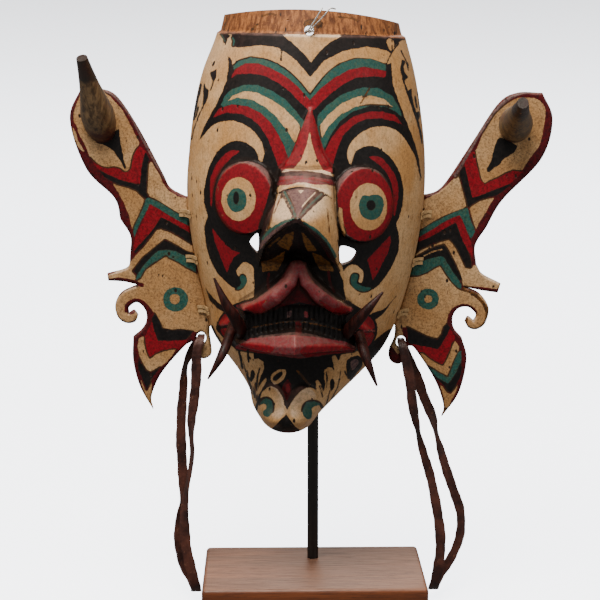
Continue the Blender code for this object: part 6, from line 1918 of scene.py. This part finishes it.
def make_peg(name, material):
    """A turned peg whose rings lie flat on the ear at its foot and square to it further up."""
    (fx, fz), (tx, tz, td) = PEGS[name]
    foot = forward(fx, fz, EAR_BACK + EAR_THICKNESS + TOUCH_GAP)
    tip = forward(tx, tz, td)
    length = np.linalg.norm(tip - foot)
    axis = (tip - foot) / length
    back = np.array([0.0, 1.0, 0.0])
    profile = smooth_path(PEG_PROFILE, PEG_STEPS) + [PEG_END]
    points, shares = [], []
    for share, radius in profile:
        lean = min(share / PEG_LEAN, 1.0)
        normal = (1 - lean) * -back + lean * axis
        normal /= np.linalg.norm(normal)
        side = np.cross(normal, (0.0, 0.0, 1.0))
        side /= np.linalg.norm(side)
        up = np.cross(normal, side)
        for k in range(PEG_FINE_SIDES):
            a = 2 * pi * k / PEG_FINE_SIDES
            points.append(foot + axis * length * min(share, 1.0) + radius * (cos(a) * side + sin(a) * up))
            shares.append(share)
    faces = tube_faces(len(profile), PEG_FINE_SIDES)
    piece = facing_out(mesh_object("turned_" + name, points, faces))
    give(piece.data, "along", shares)
    return finish(piece, material, "peg_wood", name)


def make_strap(name, route, material):
    """A hide strip with soft edges and slight curl, along the same route as its solid."""
    rows = [(*forward(x, z, depth), width, turn) for x, z, depth, width, turn in route]
    path = np.array(smooth_path(rows, STRAP_FINE_STEPS))
    lengths = lengths_along(path)
    section = list(zip(np.linspace(-1, 1, len(STRAP_SECTION)), STRAP_SECTION))
    points = []
    for row, tangent, at in zip(path, np.gradient(path[:, :3], axis=0), lengths):
        tangent = tangent / np.linalg.norm(tangent)
        turn = radians(row[4])
        flat = np.array([1.0, 0.0, 0.0])
        flat = flat - tangent * flat.dot(tangent)
        flat /= np.linalg.norm(flat)
        wide = cos(turn) * flat + sin(turn) * np.cross(tangent, flat)
        deep = np.cross(tangent, wide)
        # The width wavers and the edges curl a little along the strip
        half = row[3] / 2 * (1 + 0.05 * sin(at / 5.3) + 0.04 * sin(at / 2.1 + 1))
        curl = STRAP_CURL * sin(at / 17.0)
        thick = STRAP_THICKNESS / 2
        points += [row[:3] + wide * half * a + deep * (thick * b + curl * a * a) for a, b in section]
        points += [row[:3] + wide * half * a - deep * (thick * b - curl * a * a) for a, b in section[::-1]]
    faces = tube_faces(len(path), 2 * len(section))
    piece = facing_out(mesh_object("hide_" + name, points, faces))
    finish(piece, material, "leather", name)
    return piece


def add_spline(curve, points, closed=False):
    """A line through points of the model's frame, in millimetres."""
    spline = curve.splines.new("POLY")
    spline.points.add(len(points) - 1)
    for point, place in zip(spline.points, points):
        point.co = (*(np.array(place) * MM), 1.0)
    spline.use_cyclic_u = closed
    spline.use_smooth = True


def curve_piece(name, points, radius, resolution):
    """A round bar along points of the model's frame."""
    curve = bpy.data.curves.new(name, "CURVE")
    curve.dimensions = "3D"
    curve.bevel_depth = radius * MM
    curve.bevel_resolution = resolution
    curve.use_fill_caps = True
    add_spline(curve, points)
    return linked(name, curve)


def add_knot(wire):
    """Turns of the wire round itself in front of the hole."""
    x, drop, _ = WIRE_HOLE
    for shift, turn, radius in WIRE_TURNS:
        points = []
        for k in range(KNOT_POINTS):
            a = 2 * pi * k / KNOT_POINTS
            across = x + shift + radius * cos(a) * cos(turn)
            height = MASK_HEIGHT - drop + radius * cos(a) * sin(turn)
            depth = KNOT_DEPTH + KNOT_STEP * shift + KNOT_SWELL * sin(a)
            points.append(forward(across, height, depth) + MASK_PLACE)
        add_spline(wire.data, points, closed=True)


def make_stand(wood, paint):
    """The wooden block, the rod and the bar that it ends in."""
    bm = bmesh.new()
    bmesh.ops.create_cube(bm, size=1.0)
    bmesh.ops.scale(bm, vec=(BLOCK_WIDTH * MM, BLOCK_DEPTH * MM, BLOCK_HEIGHT * MM), verts=bm.verts)
    bmesh.ops.translate(bm, vec=(0, 0, BLOCK_HEIGHT / 2 * MM), verts=bm.verts)
    bmesh.ops.bevel(
        bm, geom=bm.edges, offset=BLOCK_ROUNDING * MM, segments=BLOCK_SEGMENTS, profile=0.5, affect="EDGES",
    )
    mesh = bpy.data.meshes.new("wooden_block")
    bm.to_mesh(mesh)
    bm.free()
    mesh.shade_smooth()
    mesh.set_sharp_from_angle(angle=BLOCK_SHARP)
    finish(linked("wooden_block", mesh), wood, "walnut", "stand_block")
    points, bar_z = rod_path()
    finish(curve_piece("round_rod", points, ROD_RADIUS, ROD_FINE), paint, "black_steel", "stand_rod")
    bar_y = MASK_BACK_Y - CROSSPIECE_DEPTH
    ends = [(side * CROSSPIECE_LENGTH / 2, bar_y, bar_z) for side in (-1, 1)]
    bar = curve_piece("round_crosspiece", ends, CROSSPIECE_RADIUS, CROSSPIECE_FINE)
    finish(bar, paint, "black_steel", "stand_crosspiece")


def make_wire(material):
    """The tie wire with its knot."""
    rows = [forward(x, MASK_HEIGHT - down, depth) for x, down, depth in WIRE_POINTS]
    points = [p + MASK_PLACE for p in smooth_path(rows, WIRE_FINE_STEPS)]
    wire = curve_piece("bright_wire", points, WIRE_RADIUS, WIRE_FINE)
    add_knot(wire)
    finish(wire, material, "wire", "tie_wire")


def dress_lashings(material):
    """The lashings keep their solids and only get a new material."""
    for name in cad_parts:
        if name.startswith("lashing"):
            node = bpy.data.objects[name]
            node.data.materials.clear()
            node.data.materials.append(material)


def main():
    add_camera()
    strip_hide = hide()
    make_strap("strap_left", STRAP_LEFT, strip_hide)
    make_strap("strap_right", STRAP_RIGHT, strip_hide)
    make_face(painted_wood("painted_face", FACE_GRIME))
    ear_paint = painted_wood("painted_ears", EAR_GRIME)
    make_ear("ear_left", EAR_LEFT, -1, SLOT_LEFT, EAR_LEFT_PAINT, ear_paint)
    make_ear("ear_right", EAR_RIGHT, 1, SLOT_RIGHT, EAR_RIGHT_PAINT, ear_paint)
    dark = tusk_wood()
    for name in TUSKS:
        make_tusk(name, dark)
    horn = peg_wood()
    for name in PEGS:
        make_peg(name, horn)
    dress_lashings(rattan())
    make_wire(bright_wire())
    make_stand(walnut(), black_paint())
    add_studio()


main()
